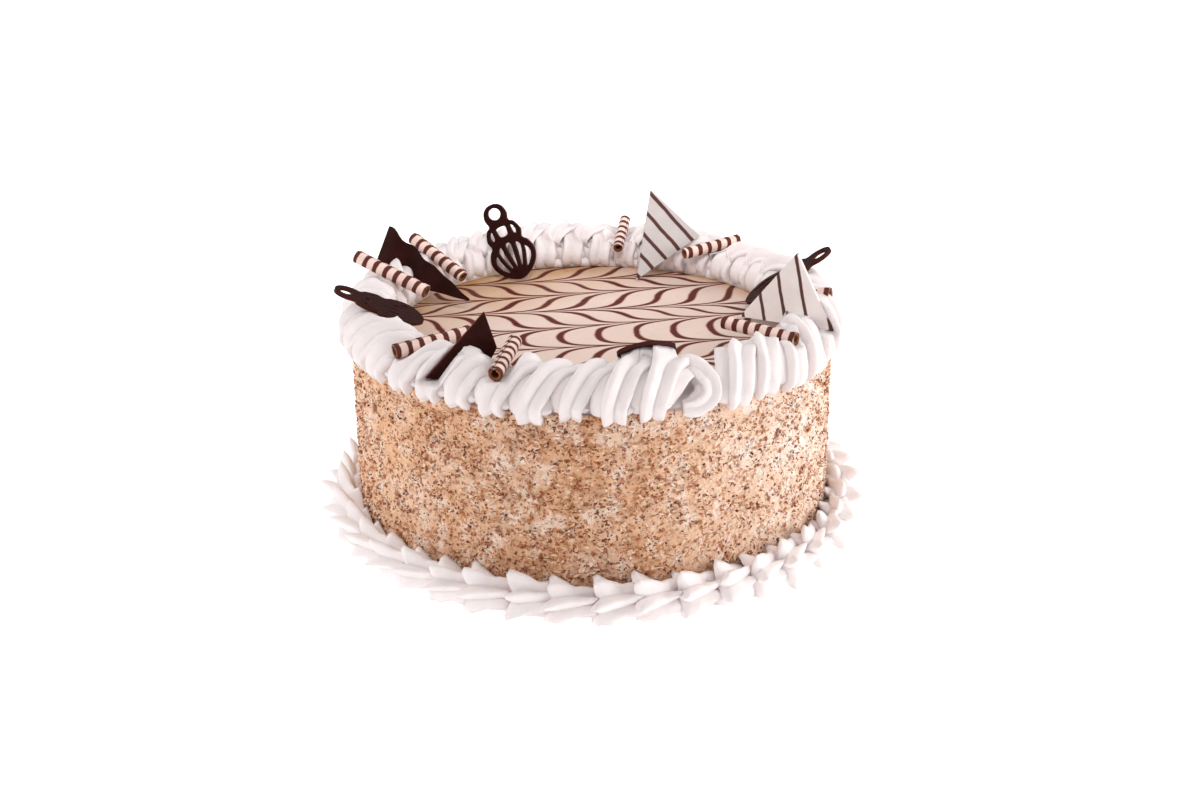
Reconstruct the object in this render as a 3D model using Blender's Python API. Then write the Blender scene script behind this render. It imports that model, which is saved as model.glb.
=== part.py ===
"""Esterhazy torte: a round nut-coated cake with feathered icing, two piped cream rings and chocolate.

The origin is the middle of the cake's flat bottom, +Z is up and lengths are in metres. The side that
the camera sees first faces -Y. Every solid is closed, and neighbours keep a small gap.
"""
import math
import random

import bmesh
import bpy
from mathutils import Matrix, Vector

# Cake and icing
CAKE_RADIUS = 0.1197
NUT_RELIEF = 0.0009
ICING_LEVEL = 0.0957
ICING_THICKNESS = 0.002
ICING_RADIUS = 0.1185
GAP = 0.0003
NUT_COLUMNS = 110
NUT_ROWS = 14
ICING_SEGMENTS = 48

# Piped rope on the top rim
ROPE_COILS = 38
ROPE_RADIUS = 0.1065
ROPE_CENTRE_LEVEL = ICING_LEVEL + 0.0045
ROPE_OUTWARD = 0.018
ROPE_INWARD = 0.018
ROPE_UPWARD = 0.0175
ROPE_DOWNWARD = 0.0135
ROPE_WALL_RADIUS = 0.1213
ROPE_BREAK_ANGLE = math.radians(290)
ROPE_BREAK_DEPTH = 0.4
ROPE_OVERHANG = 0.0026
ROPE_NOTCH_RISE = 2.4
ROPE_WALL_MARGIN = 0.0008
ROPE_SURFACE_LIFT = 0.001
ROPE_PHASE = 0.41
ROPE_SLANT = 0.14
ROPE_SLANT_START = 0.15

# Angles round the rope's section, and place and depth of each ridge and groove in a coil
ROPE_TURNS = [math.radians(value) for value in (-38, -8, 22, 52, 80, 110, 142, 172, 196)]
ROPE_RIDGES = ((0.0, 0.27), (0.19, 0.07), (0.35, 0.14), (0.52, 0.0), (0.68, 0.12), (0.84, 0.04))
ROPE_SWELL = (0.95, 1.03)

# Shells piped round the foot
SHELL_COUNT = 41
SHELL_WALL_RADIUS = 0.1213
SHELL_TOP = 0.0185
SHELL_REACH = 0.0172
SHELL_PHASE = -0.2
SHELL_LEAN = 0.12
SHELL_SWELL = (0.94, 1.04)
SHELL_FOOT = 0.82
SHELL_SHOULDER = 0.92
SHELL_TOP_RADIUS = 0.1225

# Along a shell: place, size of its ridges, size of its grooves
SHELL_STATIONS = ((0.0, 1.0, 0.86), (0.30, 0.94, 0.85), (0.65, 0.82, 0.78), (0.95, 0.66, 0.64))

# Round a shell's section: angle above the floor in degrees, reach, and whether it is a ridge
SHELL_RAYS = ((88, 1.02, True), (68, 0.84, False), (46, 1.0, True), (26, 0.86, False), (9, 1.03, True))

# Rolled wafers and chocolate pieces
ROLL_BORE_RADIUS = 0.0018
ROLL_SIDES = 12
PLATE_THICKNESS = 0.0016
LEAF_THICKNESS = 0.0018
LEAF_LENGTH = 0.0424
SEAT_DEPTH = 0.02
WAVE_STEPS = 10
WAVE_DEPTH = 0.0012
WAVE_COUNT = 2.5
WAVE_TAPER = 0.94
RANDOM_SEED = 11

# Rolls: the middle of the near or outer end, the middle of the other end, radius
ROLLS = {
    "roll_1": ((-0.1200, 0.0232, 0.0302), (-0.0835, 0.0070, 0.0165), 0.0038),
    "roll_2": ((-0.0955, 0.0670, 0.0265), (-0.0678, 0.0430, 0.0125), 0.0036),
    "roll_3": ((-0.0905, -0.0795, 0.0165), (-0.0554, -0.0607, 0.0196), 0.0038),
    "roll_4": ((-0.0425, -0.1130, 0.0180), (-0.0352, -0.0745, 0.0198), 0.0037),
    "roll_5": ((0.0139, 0.0880, 0.0140), (0.0182, 0.1205, 0.0205), 0.0030),
    "roll_6": ((0.0493, 0.0711, 0.0160), (0.0792, 0.0865, 0.0190), 0.0034),
    "roll_7": ((0.0953, -0.0684, 0.0180), (0.0630, -0.0470, 0.0190), 0.0036),
    "roll_8": ((0.1183, -0.0087, 0.0200), (0.0890, 0.0045, 0.0170), 0.0036),
}

# Flat chocolate plates: corners in order, heights above the icing
PLATES = {
    "dark_triangle": (
        (-0.0484, -0.0875, 0.0390),
        (-0.0755, -0.0940, 0.0090),
        (-0.0520, -0.0884, 0.0040),
        (-0.0430, -0.0862, 0.0210),
    ),
    "striped_triangle_back": (
        (0.0315, 0.0850, 0.0475),
        (0.0236, 0.0700, 0.0015),
        (0.0583, 0.0850, 0.0217),
    ),
    "striped_triangle_right": (
        (0.1008, -0.0127, 0.0425),
        (0.0752, 0.0090, 0.0020),
        (0.1176, -0.0295, 0.0080),
    ),
}
DARK_PLATES = ("dark_triangle",)

# Wavy plate: top corner, tip over the icing, lower corner in the cream
WAVE_TOP = (-0.1050, 0.0470, 0.0390)
WAVE_TIP = (-0.0590, 0.0209, 0.0035)
WAVE_LOW = (-0.1150, 0.0415, 0.0140)

# Filigree leaves: bottom point, top of the loop, direction of the width
LEAVES = {
    "lattice_back_left": ((-0.0374, 0.0716, 0.0020), (-0.0548, 0.0825, 0.0400), (1.0, -0.3, 0.5)),
    "lattice_left": ((-0.0815, -0.0320, 0.0140), (-0.1243, -0.0274, 0.0300), (0.0, -1.0, 0.0)),
    "lattice_right": ((0.0790, 0.0215, 0.0050), (0.1215, 0.0240, 0.0330), (0.0, 1.0, 0.0)),
    "lattice_front": ((0.0260, -0.1060, 0.0250), (0.0230, -0.0670, 0.0090), (-1.0, 0.0, -0.13)),
}

LYING_LEAVES = ("lattice_left", "lattice_right", "lattice_front")

# Right half of the leaf's outline and its openings, as parts of its length from the bottom point
LEAF_HALF = (
    (0.035, 0.000), (0.190, 0.080), (0.292, 0.189), (0.316, 0.307), (0.274, 0.425), (0.226, 0.486),
    (0.245, 0.590), (0.198, 0.708), (0.137, 0.755), (0.156, 0.849), (0.127, 0.943), (0.061, 1.000),
)
LEAF_HULL = (0, 1, 2, 3, 6, 10, 11)
LEAF_SIDE_HOLES = (
    ((0.118, 0.118), (0.250, 0.226), (0.260, 0.330), (0.203, 0.392)),
    ((0.045, 0.165), (0.083, 0.142), (0.165, 0.455), (0.104, 0.484)),
    ((0.137, 0.580), (0.186, 0.566), (0.175, 0.672), (0.137, 0.690)),
)
LEAF_MIDDLE_HOLES = (
    ((-0.012, 0.165), (0.012, 0.165), (0.042, 0.495), (-0.042, 0.495)),
    ((-0.052, 0.580), (0.052, 0.580), (0.080, 0.700), (-0.080, 0.700)),
)
LEAF_LOOP_CENTRE = 0.877
LEAF_LOOP_RADII = (0.090, 0.075)
LEAF_LOOP_POINTS = 8

# Colours, as linear red, green and blue
CREAM_WHITE = (0.85, 0.80, 0.76)
NUT_BEIGE = (0.72, 0.50, 0.33)
ICING_IVORY = (0.80, 0.66, 0.54)
DARK_CHOCOLATE = (0.035, 0.014, 0.012)
WHITE_CHOCOLATE = (0.78, 0.68, 0.58)
WAFER_BROWN = (0.45, 0.25, 0.17)


def clear_scene():
    """Remove every object of the opened scene."""
    for old in list(bpy.data.objects):
        bpy.data.objects.remove(old, do_unlink=True)


def plain_material(name, colour, roughness):
    """Return a Principled material of one colour."""
    material = bpy.data.materials.new(name)
    material.use_nodes = True
    shader = material.node_tree.nodes["Principled BSDF"]
    shader.inputs["Base Color"].default_value = (*colour, 1.0)
    shader.inputs["Roughness"].default_value = roughness
    return material


def add_object(name, bm, material, smooth_angle=0.6):
    """Turn a bmesh into a named, shaded object of the scene."""
    bmesh.ops.recalc_face_normals(bm, faces=bm.faces)
    mesh = bpy.data.meshes.new(name)
    bm.to_mesh(mesh)
    bm.free()
    mesh.shade_smooth()
    mesh.set_sharp_from_angle(angle=smooth_angle)
    mesh.materials.append(material)
    part = bpy.data.objects.new(name, mesh)
    bpy.context.scene.collection.objects.link(part)
    return part


def polar(radius, angle, level):
    """Return the point at a radius, an angle about Z and a height."""
    return Vector((radius * math.cos(angle), radius * math.sin(angle), level))


def above_icing(point):
    """Return a point given by its height above the icing as a world point."""
    return Vector((point[0], point[1], ICING_LEVEL + point[2]))


def ring_mesh(rings, tube_closed, slip=0):
    """Bridge rings of equal point counts. A closed tube joins its last ring to its first, slipped on."""
    bm = bmesh.new()
    loops = [[bm.verts.new(point) for point in ring] for ring in rings]
    count = len(loops[0])
    last = len(loops) if tube_closed else len(loops) - 1
    for row in range(last):
        here = loops[row]
        there = loops[(row + 1) % len(loops)]
        on = slip if row == len(loops) - 1 else 0
        for column in range(count):
            beside = (column + 1) % count
            far = (column + on) % count
            bm.faces.new((here[column], here[beside], there[(far + 1) % count], there[far]))
    if not tube_closed:
        bm.faces.new(list(reversed(loops[0])))
        bm.faces.new(loops[-1])
    bmesh.ops.triangulate(bm, faces=bm.faces)
    return bm


def build_cake_body(material, chance):
    """Cake with its nut coat: a drum whose side has bumps, smooth where cream lies against it."""
    top = ICING_LEVEL - ICING_THICKNESS - GAP
    rings = []
    for row in range(NUT_ROWS + 1):
        level = top * row / NUT_ROWS
        hidden = level < SHELL_TOP * SHELL_SHOULDER or row == NUT_ROWS
        ring = []
        for column in range(NUT_COLUMNS):
            angle = 2.0 * math.pi * (column + 0.5 * (row % 2)) / NUT_COLUMNS
            bump = NUT_RELIEF * 0.5 if hidden else NUT_RELIEF * chance.uniform(-1.0, 1.0)
            lift = 0.0 if row in (0, NUT_ROWS) else chance.uniform(-1.0, 1.0) * NUT_RELIEF
            ring.append(polar(CAKE_RADIUS + bump, angle, level + lift))
        rings.append(ring)
    return add_object("cake_body", ring_mesh(rings, False), material)


def build_icing(material):
    """Thin poured icing on the top face."""
    bm = bmesh.new()
    bmesh.ops.create_cone(
        bm,
        cap_ends=True,
        cap_tris=True,
        segments=ICING_SEGMENTS,
        radius1=ICING_RADIUS,
        radius2=ICING_RADIUS,
        depth=ICING_THICKNESS,
        matrix=Matrix.Translation((0.0, 0.0, ICING_LEVEL - ICING_THICKNESS * 0.5)),
    )
    return add_object("icing_disc", bm, material)


def coil_shift(turn):
    """How far a ridge has run along the rope, in coils. It runs on by one coil round the section."""
    part = (turn - ROPE_TURNS[0]) / (ROPE_TURNS[-1] - ROPE_TURNS[0])
    phase = 2.0 * math.pi * ROPE_SLANT_START
    return part + ROPE_SLANT * (math.cos(phase) - math.cos(2.0 * math.pi * part - phase))


def rope_point(turn, depth, swell):
    """Radius and height of the rope's surface at an angle round its section."""
    across = ROPE_OUTWARD if math.cos(turn) > 0.0 else ROPE_INWARD
    upward = ROPE_UPWARD if math.sin(turn) > 0.0 else ROPE_DOWNWARD
    size = (1.0 - depth) * swell
    radius = ROPE_RADIUS + across * size * math.cos(turn)
    level = ROPE_CENTRE_LEVEL + upward * size * math.sin(turn)
    return radius, level


def build_top_cream(material, chance):
    """Rope of piped coils on the rim. Its mesh lines follow the ridges that the nozzle leaves."""
    coil_angle = 2.0 * math.pi / ROPE_COILS
    swells = [chance.uniform(*ROPE_SWELL) for _ in range(ROPE_COILS)]
    break_coil = round(ROPE_BREAK_ANGLE / coil_angle - ROPE_PHASE)
    underside = ICING_LEVEL + GAP
    overhang = ICING_LEVEL - ROPE_OVERHANG
    rings = [[] for _ in range(len(ROPE_TURNS) + 2)]
    for coil in range(ROPE_COILS):
        for part, depth in ROPE_RIDGES:
            here = ROPE_BREAK_DEPTH if coil == break_coil and part == 0.0 else depth
            for row, turn in enumerate(ROPE_TURNS):
                angle = coil_angle * (coil + part + coil_shift(turn) + ROPE_PHASE)
                radius, level = rope_point(turn, here, swells[coil])
                if row <= 1:
                    radius = max(radius, ROPE_WALL_RADIUS + ROPE_WALL_MARGIN)
                if row == 0:
                    notch = min(here, ROPE_RIDGES[0][1])
                    level = overhang + ROPE_OVERHANG * ROPE_NOTCH_RISE * notch
                    foot = angle
                    foot_level = level
                elif row == len(ROPE_TURNS) - 1:
                    level = underside
                else:
                    level = max(level, underside + ROPE_SURFACE_LIFT)
                rings[row].append(polar(radius, angle, level))
            rings[-2].append(polar(ROPE_WALL_RADIUS, foot + coil_angle, underside))
            rings[-1].append(polar(ROPE_WALL_RADIUS, foot + coil_angle, foot_level))
    return add_object("top_cream", ring_mesh(rings, True, len(ROPE_RIDGES)), material, 0.5)


def shell_profile(ridge_size, valley_size, swell):
    """Radius and height of each ray of a shell's section, from the wall down to the floor."""
    profile = []
    for degrees, reach, is_ridge in SHELL_RAYS:
        size = (ridge_size if is_ridge else valley_size) * reach * swell
        ray = math.radians(degrees)
        radius = SHELL_WALL_RADIUS + SHELL_REACH * size * math.cos(ray)
        profile.append((max(radius, SHELL_TOP_RADIUS), SHELL_TOP * size * math.sin(ray), is_ridge))
    return profile


def build_base_cream(material, chance):
    """Star-tip shells round the foot: each has a pointed rim at one end and tapers to the other."""
    shell_angle = 2.0 * math.pi / SHELL_COUNT
    rings = [[] for _ in range(len(SHELL_RAYS) + 3)]
    for shell in range(SHELL_COUNT):
        swell = chance.uniform(*SHELL_SWELL)
        for part, ridge_size, valley_size in SHELL_STATIONS:
            angle = shell_angle * (shell + part + SHELL_PHASE)
            profile = shell_profile(ridge_size, valley_size, swell)
            shoulder = SHELL_TOP * valley_size * swell * SHELL_SHOULDER
            rings[0].append(polar(SHELL_WALL_RADIUS, angle, shoulder))
            for row, (radius, level, is_ridge) in enumerate(profile):
                lean = SHELL_LEAN * shell_angle if is_ridge and part == 0.0 else 0.0
                rings[row + 1].append(polar(radius, angle - lean, level))
            foot = SHELL_WALL_RADIUS + SHELL_REACH * ridge_size * swell * SHELL_FOOT
            rings[-2].append(polar(foot, angle, 0.0))
            rings[-1].append(polar(SHELL_WALL_RADIUS, angle, 0.0))
    return add_object("base_cream", ring_mesh(rings, True), material, 0.5)


def axis_frame(start, end, side_hint):
    """Matrix whose X runs from start to end and whose Y lies nearest to the hint."""
    along = (end - start).normalized()
    hint = Vector(side_hint)
    side = (hint - along * hint.dot(along)).normalized()
    face = along.cross(side)
    turn = Matrix((along, side, face)).transposed().to_4x4()
    return Matrix.Translation(start) @ turn


def build_roll(name, start, end, radius, material):
    """Rolled wafer: a straight tube with an open bore."""
    length = (end - start).length
    bore = ROLL_BORE_RADIUS
    rings = []
    for place, size in ((0.0, radius), (length, radius), (length, bore), (0.0, bore)):
        ring = []
        for side in range(ROLL_SIDES):
            angle = 2.0 * math.pi * side / ROLL_SIDES
            ring.append(Vector((place, size * math.cos(angle), size * math.sin(angle))))
        rings.append(ring)
    roll = add_object(name, ring_mesh(rings, True), material)
    roll.matrix_world = axis_frame(start, end, (0.3, 0.2, 1.0))
    return roll


def prism(outline, holes, thickness):
    """Flat plate of an outline with openings, centred on the plane of X and Y."""
    bm = bmesh.new()
    edges = []
    for loop in [outline, *holes]:
        points = [bm.verts.new((x, y, -thickness * 0.5)) for x, y in loop]
        for index, point in enumerate(points):
            edges.append(bm.edges.new((point, points[(index + 1) % len(points)])))
    bmesh.ops.triangle_fill(bm, use_beauty=True, use_dissolve=False, edges=edges)
    raised = bmesh.ops.extrude_face_region(bm, geom=bm.faces[:])["geom"]
    tops = [item for item in raised if isinstance(item, bmesh.types.BMVert)]
    bmesh.ops.translate(bm, verts=tops, vec=(0.0, 0.0, thickness))
    bmesh.ops.triangulate(bm, faces=bm.faces)
    return bm


def leaf_loops():
    """Outline and openings of the filigree leaf, with X along its length."""
    half = [(y * LEAF_LENGTH, x * LEAF_LENGTH) for x, y in LEAF_HALF]
    outline = half + [(x, -y) for x, y in reversed(half)]
    holes = []
    for hole in LEAF_SIDE_HOLES:
        holes.append([(y * LEAF_LENGTH, x * LEAF_LENGTH) for x, y in hole])
        holes.append([(y * LEAF_LENGTH, -x * LEAF_LENGTH) for x, y in reversed(hole)])
    for hole in LEAF_MIDDLE_HOLES:
        holes.append([(y * LEAF_LENGTH, x * LEAF_LENGTH) for x, y in hole])
    loop = []
    for index in range(LEAF_LOOP_POINTS):
        angle = 2.0 * math.pi * index / LEAF_LOOP_POINTS
        along = LEAF_LOOP_CENTRE + LEAF_LOOP_RADII[1] * math.cos(angle)
        loop.append((along * LEAF_LENGTH, LEAF_LOOP_RADII[0] * LEAF_LENGTH * math.sin(angle)))
    holes.append(loop)
    return outline, holes


def build_leaf(name, start, end, side_hint, material):
    """Filigree chocolate leaf, scaled along its length to reach from start to end."""
    outline, holes = leaf_loops()
    bm = prism(outline, holes, LEAF_THICKNESS)
    stretch = (end - start).length / LEAF_LENGTH
    bmesh.ops.scale(bm, vec=(stretch, 1.0, 1.0), verts=bm.verts)
    leaf = add_object(name, bm, material)
    leaf.matrix_world = axis_frame(start, end, side_hint)
    return leaf


def plate_frame(corners):
    """Frame of a flat plate and its outline in that frame."""
    frame = axis_frame(corners[1], corners[-1], corners[0] - corners[1])
    inverse = frame.inverted()
    return frame, [tuple((inverse @ corner)[:2]) for corner in corners]


def build_plate(name, corners, material):
    """Flat chocolate plate through the given corners."""
    frame, outline = plate_frame(corners)
    plate = add_object(name, prism(outline, [], PLATE_THICKNESS), material)
    plate.matrix_world = frame
    return plate


def build_wave(material):
    """Wavy chocolate plate that narrows from its high end to a tip."""
    top, tip, low = (above_icing(point) for point in (WAVE_TOP, WAVE_TIP, WAVE_LOW))
    face = (top - tip).cross(low - tip).normalized()
    bm = bmesh.new()
    rows = []
    for step in range(WAVE_STEPS + 1):
        part = step / WAVE_STEPS
        upper = top.lerp(tip, part * WAVE_TAPER)
        lower = low.lerp(tip, part * WAVE_TAPER)
        wave = face * (WAVE_DEPTH * math.sin(2.0 * math.pi * WAVE_COUNT * part))
        half = face * (PLATE_THICKNESS * 0.5)
        corners = (upper + wave + half, lower + wave + half, lower + wave - half, upper + wave - half)
        rows.append([bm.verts.new(corner) for corner in corners])
    for here, there in zip(rows, rows[1:]):
        for side in range(4):
            beside = (side + 1) % 4
            bm.faces.new((here[side], here[beside], there[beside], there[side]))
    bm.faces.new(list(reversed(rows[0])))
    bm.faces.new(rows[-1])
    bmesh.ops.triangulate(bm, faces=bm.faces)
    return add_object("dark_wave", bm, material)


def seat_cutter(name, frame, outline, low, high, group):
    """Cutter for a seat: a convex outline in the frame's XY plane, from one height to another."""
    bm = bmesh.new()
    floor = [bm.verts.new(frame @ Vector((x, y, low))) for x, y in outline]
    roof = [bm.verts.new(frame @ Vector((x, y, high))) for x, y in outline]
    for index in range(len(outline)):
        beside = (index + 1) % len(outline)
        bm.faces.new((floor[index], floor[beside], roof[beside], roof[index]))
    bm.faces.new(list(reversed(floor)))
    bm.faces.new(roof)
    bmesh.ops.recalc_face_normals(bm, faces=bm.faces)
    mesh = bpy.data.meshes.new(name)
    bm.to_mesh(mesh)
    bm.free()
    cutter = bpy.data.objects.new(name, mesh)
    cutter.hide_render = True
    cutter.display_type = "WIRE"
    group.objects.link(cutter)


def roll_seat(name, start, end, radius, group):
    """Seat of a roll: a trough with a half-octagon floor, open upward."""
    along = (end - start).normalized()
    up = (Vector((0.0, 0.0, 1.0)) - along * along.z).normalized()
    side = up.cross(along)
    frame = Matrix.Translation(start) @ Matrix((side, up, along)).transposed().to_4x4()
    reach = (radius + GAP) / math.cos(math.radians(22.5))
    outline = [(reach, SEAT_DEPTH), (-reach, SEAT_DEPTH)]
    for degrees in (180.0, 225.0, 270.0, 315.0, 360.0):
        angle = math.radians(degrees)
        outline.append((reach * math.cos(angle), reach * math.sin(angle)))
    seat_cutter(name + "_seat", frame, outline, -GAP, (end - start).length + GAP, group)


def grown(outline, margin):
    """Convex outline pushed outward from its middle by a margin at each corner."""
    middle = Vector((sum(x for x, _ in outline), sum(y for _, y in outline))) / len(outline)
    grown_points = []
    for point in outline:
        away = Vector(point) - middle
        grown_points.append(tuple(Vector(point) + away.normalized() * margin))
    return grown_points


def plate_seat(name, corners, waviness, group):
    """Seat of a plate that stands in the cream."""
    frame, outline = plate_frame(corners)
    half = PLATE_THICKNESS * 0.5 + waviness + GAP
    seat_cutter(name + "_seat", frame, grown(outline, 2.0 * GAP), -half, half, group)


def leaf_seat(name, start, end, side_hint, lying, group):
    """Seat of a leaf, which stands in the cream or lies on it."""
    length = (end - start).length
    half = [LEAF_HALF[index] for index in LEAF_HULL]
    outline = [(y * length, x * LEAF_LENGTH) for x, y in half]
    outline += [(x, -y) for x, y in reversed(outline)]
    frame = axis_frame(start, end, side_hint)
    depth = LEAF_THICKNESS * 0.5 + GAP
    reach = SEAT_DEPTH if lying else depth
    seat_cutter(name + "_seat", frame, grown(outline, 2.0 * GAP), -depth, reach, group)


def cut_seats(cream):
    """Cut the seats of the pieces that stand in the cream or lie on it."""
    group = bpy.data.collections.new("seat_cutters")
    bpy.context.scene.collection.children.link(group)
    for name, (start, end, radius) in ROLLS.items():
        roll_seat(name, above_icing(start), above_icing(end), radius, group)
    for name, corners in PLATES.items():
        plate_seat(name, [above_icing(corner) for corner in corners], 0.0, group)
    wave_corners = [above_icing(corner) for corner in (WAVE_TOP, WAVE_TIP, WAVE_LOW)]
    plate_seat("dark_wave", wave_corners, WAVE_DEPTH, group)
    for name, (start, end, side_hint) in LEAVES.items():
        lying = name in LYING_LEAVES
        leaf_seat(name, above_icing(start), above_icing(end), side_hint, lying, group)
    seats = cream.modifiers.new("seats", "BOOLEAN")
    seats.operation = "DIFFERENCE"
    seats.operand_type = "COLLECTION"
    seats.collection = group
    seats.solver = "EXACT"


def main():
    """Build every piece of the torte."""
    clear_scene()
    chance = random.Random(RANDOM_SEED)
    cream = plain_material("whipped_cream", CREAM_WHITE, 0.55)
    nuts = plain_material("nut_coat", NUT_BEIGE, 0.8)
    icing = plain_material("icing", ICING_IVORY, 0.35)
    dark = plain_material("dark_chocolate", DARK_CHOCOLATE, 0.4)
    white = plain_material("white_chocolate", WHITE_CHOCOLATE, 0.4)
    wafer = plain_material("wafer", WAFER_BROWN, 0.5)
    build_cake_body(nuts, chance)
    build_icing(icing)
    top_cream = build_top_cream(cream, chance)
    build_base_cream(cream, chance)
    for name, (start, end, radius) in ROLLS.items():
        build_roll(name, above_icing(start), above_icing(end), radius, wafer)
    for name, corners in PLATES.items():
        material = dark if name in DARK_PLATES else white
        build_plate(name, [above_icing(corner) for corner in corners], material)
    build_wave(dark)
    for name, (start, end, side_hint) in LEAVES.items():
        build_leaf(name, above_icing(start), above_icing(end), side_hint, dark)
    cut_seats(top_cream)


main()
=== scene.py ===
"""Looks of an Esterhazy torte, laid out as a Blender add-on and run as a script.

Lengths are in metres. The torte's origin is the middle of its flat bottom, +Z is up, and the side that
the camera sees first faces -Y. Angles about Z run from +X towards +Y, so the front is at 270 degrees.
"""
import math
from collections import namedtuple

import bmesh
import bpy
import numpy as np
from bpy.props import FloatProperty, FloatVectorProperty, IntProperty, PointerProperty
from mathutils import Matrix, Vector, geometry, noise


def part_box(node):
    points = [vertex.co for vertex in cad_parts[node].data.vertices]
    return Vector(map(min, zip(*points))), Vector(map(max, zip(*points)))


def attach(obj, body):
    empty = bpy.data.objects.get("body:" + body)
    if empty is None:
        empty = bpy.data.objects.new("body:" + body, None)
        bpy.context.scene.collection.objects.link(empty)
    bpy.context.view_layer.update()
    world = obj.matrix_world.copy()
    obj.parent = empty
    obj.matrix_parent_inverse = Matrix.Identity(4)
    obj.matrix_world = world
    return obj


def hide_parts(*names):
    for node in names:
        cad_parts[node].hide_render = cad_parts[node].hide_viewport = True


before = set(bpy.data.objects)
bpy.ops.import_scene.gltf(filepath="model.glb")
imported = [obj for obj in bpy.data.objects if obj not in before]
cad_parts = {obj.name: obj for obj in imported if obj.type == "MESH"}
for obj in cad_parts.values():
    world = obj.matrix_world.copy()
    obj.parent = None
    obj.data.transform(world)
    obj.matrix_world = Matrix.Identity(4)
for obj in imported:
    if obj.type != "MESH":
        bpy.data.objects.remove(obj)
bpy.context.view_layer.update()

bl_info = {
    "name": "Esterhazy torte",
    "version": (1, 0, 0),
    "blender": (4, 5, 0),
    "location": "View3D > Sidebar > Torte",
    "description": "Dresses a torte with nuts, feathered icing, piped cream, wafer rolls and chocolate",
    "category": "Object",
}

# Sizes read from the frame
CAKE_LOW, CAKE_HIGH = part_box("cake_body")
ICING_LOW, ICING_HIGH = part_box("icing_disc")
CAKE_RADIUS = (CAKE_HIGH.x - CAKE_LOW.x) * 0.5
CAKE_TOP = CAKE_HIGH.z
ICING_RADIUS = (ICING_HIGH.x - ICING_LOW.x) * 0.5
ICING_LEVEL = ICING_HIGH.z

ROLL_NODES = [f"roll_{number}" for number in range(1, 9)]
LEAF_NODES = ["lattice_back_left", "lattice_left", "lattice_right", "lattice_front"]

# All random draws start from this number
RANDOM_SEED = 7

# Space between the cream and the icing
GAP = 0.0003

# Edges sharper than this stay sharp or are rounded by a bevel
SHARP_EDGE = math.radians(40.0)
ROLL_SHARP_EDGE = math.radians(50.0)

# Lumps of each surface: size, height, and a shift that makes each pattern differ
COAT_LUMP = (0.006, 0.0007, 3.0)
COAT_CRUMB = (0.0022, 0.0007, 11.0)
LIP_CRUMB = (0.0022, 0.0007, 17.0)
CREAM_LUMP = (0.006, 0.0003, 5.0)
BED_LUMP = (0.006, 0.0008, 21.0)
TORN_LUMP = (0.0022, 0.0016, 9.0)

# Nut coat: rows and columns of its mesh, its depth under the cake's side, and the heights of its crumbs
COAT_ROWS = 84
COAT_COLUMNS = 640
COAT_INSET = 0.0012
COAT_LOWEST = 0.006
COAT_HIGHEST = 0.0955

# Lip of nuts over the icing's edge: distance beyond the icing's radius and rise over its top
COAT_LIP = (
    (0.0010, -0.0003), (0.0006, 0.0004), (-0.0004, 0.0006), (-0.0014, 0.0004), (-0.0016, 0.0001),
    (0.0001, 0.0001), (0.0001, -0.0021),
)
LIP_ROUGH_FROM = 0.0002

# Kinds of crumb: name, count, smallest and largest size, flatness, evenness, depth of the middle under
# the coat's outside, two colours, roughness and how much each takes on the coat's tone around it, whose
# painted light and painted shade come with it
CRUMBS = (
    ("pale_nut_crumbs", 9500, 0.0010, 0.0030, 0.35, 1.5, 0.0014, "nut_cream", "nut_light", 0.75, 0.9),
    ("tan_nut_crumbs", 6500, 0.0007, 0.0022, 0.4, 0.35, 0.0011, "nut_tan", "nut_orange", 0.7, 0.3),
    ("brown_nut_skins", 5000, 0.0006, 0.0022, 0.35, 0.22, 0.0010, "nut_orange", "nut_red_brown", 0.6, 0.1),
    ("dark_nut_skins", 1800, 0.0005, 0.0014, 0.4, 0.3, 0.0009, "nut_dark", "nut_red_brown", 0.55, 0.0),
)

# A crumb is a block: half its side, its least and greatest stretch, how far its corners stray, how far its
# middle moves out with its size, and how strongly small sizes outnumber large ones
CRUMB_HALF = 0.42
CRUMB_STRETCH = ((0.7, 0.6, 0.6), (1.2, 1.1, 1.2))
CRUMB_JITTER = (0.62, 1.2)
CRUMB_RISE = 0.08
CRUMB_SIZE_POWER = 1.6

# Share of a crumb's colour that its grain makes lighter
CRUMB_GRAIN_SHARE = 0.3

# Crumbs gather in clusters of this size, which each kind has in other places, and more crumbs lie round
# one angle: angle, spread and share
CRUMB_CLUSTER = 0.007
CLUSTER_SHIFT = 40.0
CRUMB_FRONT = (math.radians(261.0), 0.5, 0.5)

# Whitish tone of the nut side, as ranges from which and to which a value is mapped: painted light towards
# +X, where the side is lit more, and real whitish patches, wide ones and small ones of a given strength
PAINTED_LIGHT_SIDE = (0.02, 0.11, 0.0, 0.5)
PALE_WIDE = (0.35, 1.0, 0.0, 0.25)
PALE_PATCHES = (0.6, 0.95)
PALE_PATCH_SHARE = 0.5

# Brown tone of the nut side: painted shade round the middle of the front, with its middle in X, the
# distances from there at which it starts and is full and its share there, and the range of its real small
# brown patches
COAT_PAINTED_SHADE_MIDDLE = -0.022
COAT_PAINTED_SHADE_REACH = (0.075, 0.015)
COAT_PAINTED_SHADE_SHARE = 0.32
BROWN_PATCHES = (0.4, 0.1, 0.0, 0.2)

# Fineness of the wide and the small patches
WIDE_PATCH_FINENESS = 40.0
SMALL_PATCH_FINENESS = 130.0

# Flecks in the ground nuts: ranges of the grain and of the blotches that let them show
FLECK_GRAIN = (0.66, 0.74)
FLECK_BLOTCHES = (0.3, 0.7)

# Rope of cream on the rim: its coils, where it starts and how far it runs, and its core's radius and rise
ROPE_COILS = 40
ROPE_START = math.radians(303.4)
ROPE_TURN = math.radians(346.0)
ROPE_CORE = (0.1070, 0.0090)

# Steps along a coil, points round a section, and the nozzle's ridges and how they are turned
ROPE_STEPS = 40
ROPE_POINTS = 48
ROPE_LOBES = 6
ROPE_PHASE = math.radians(30.0)

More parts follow.
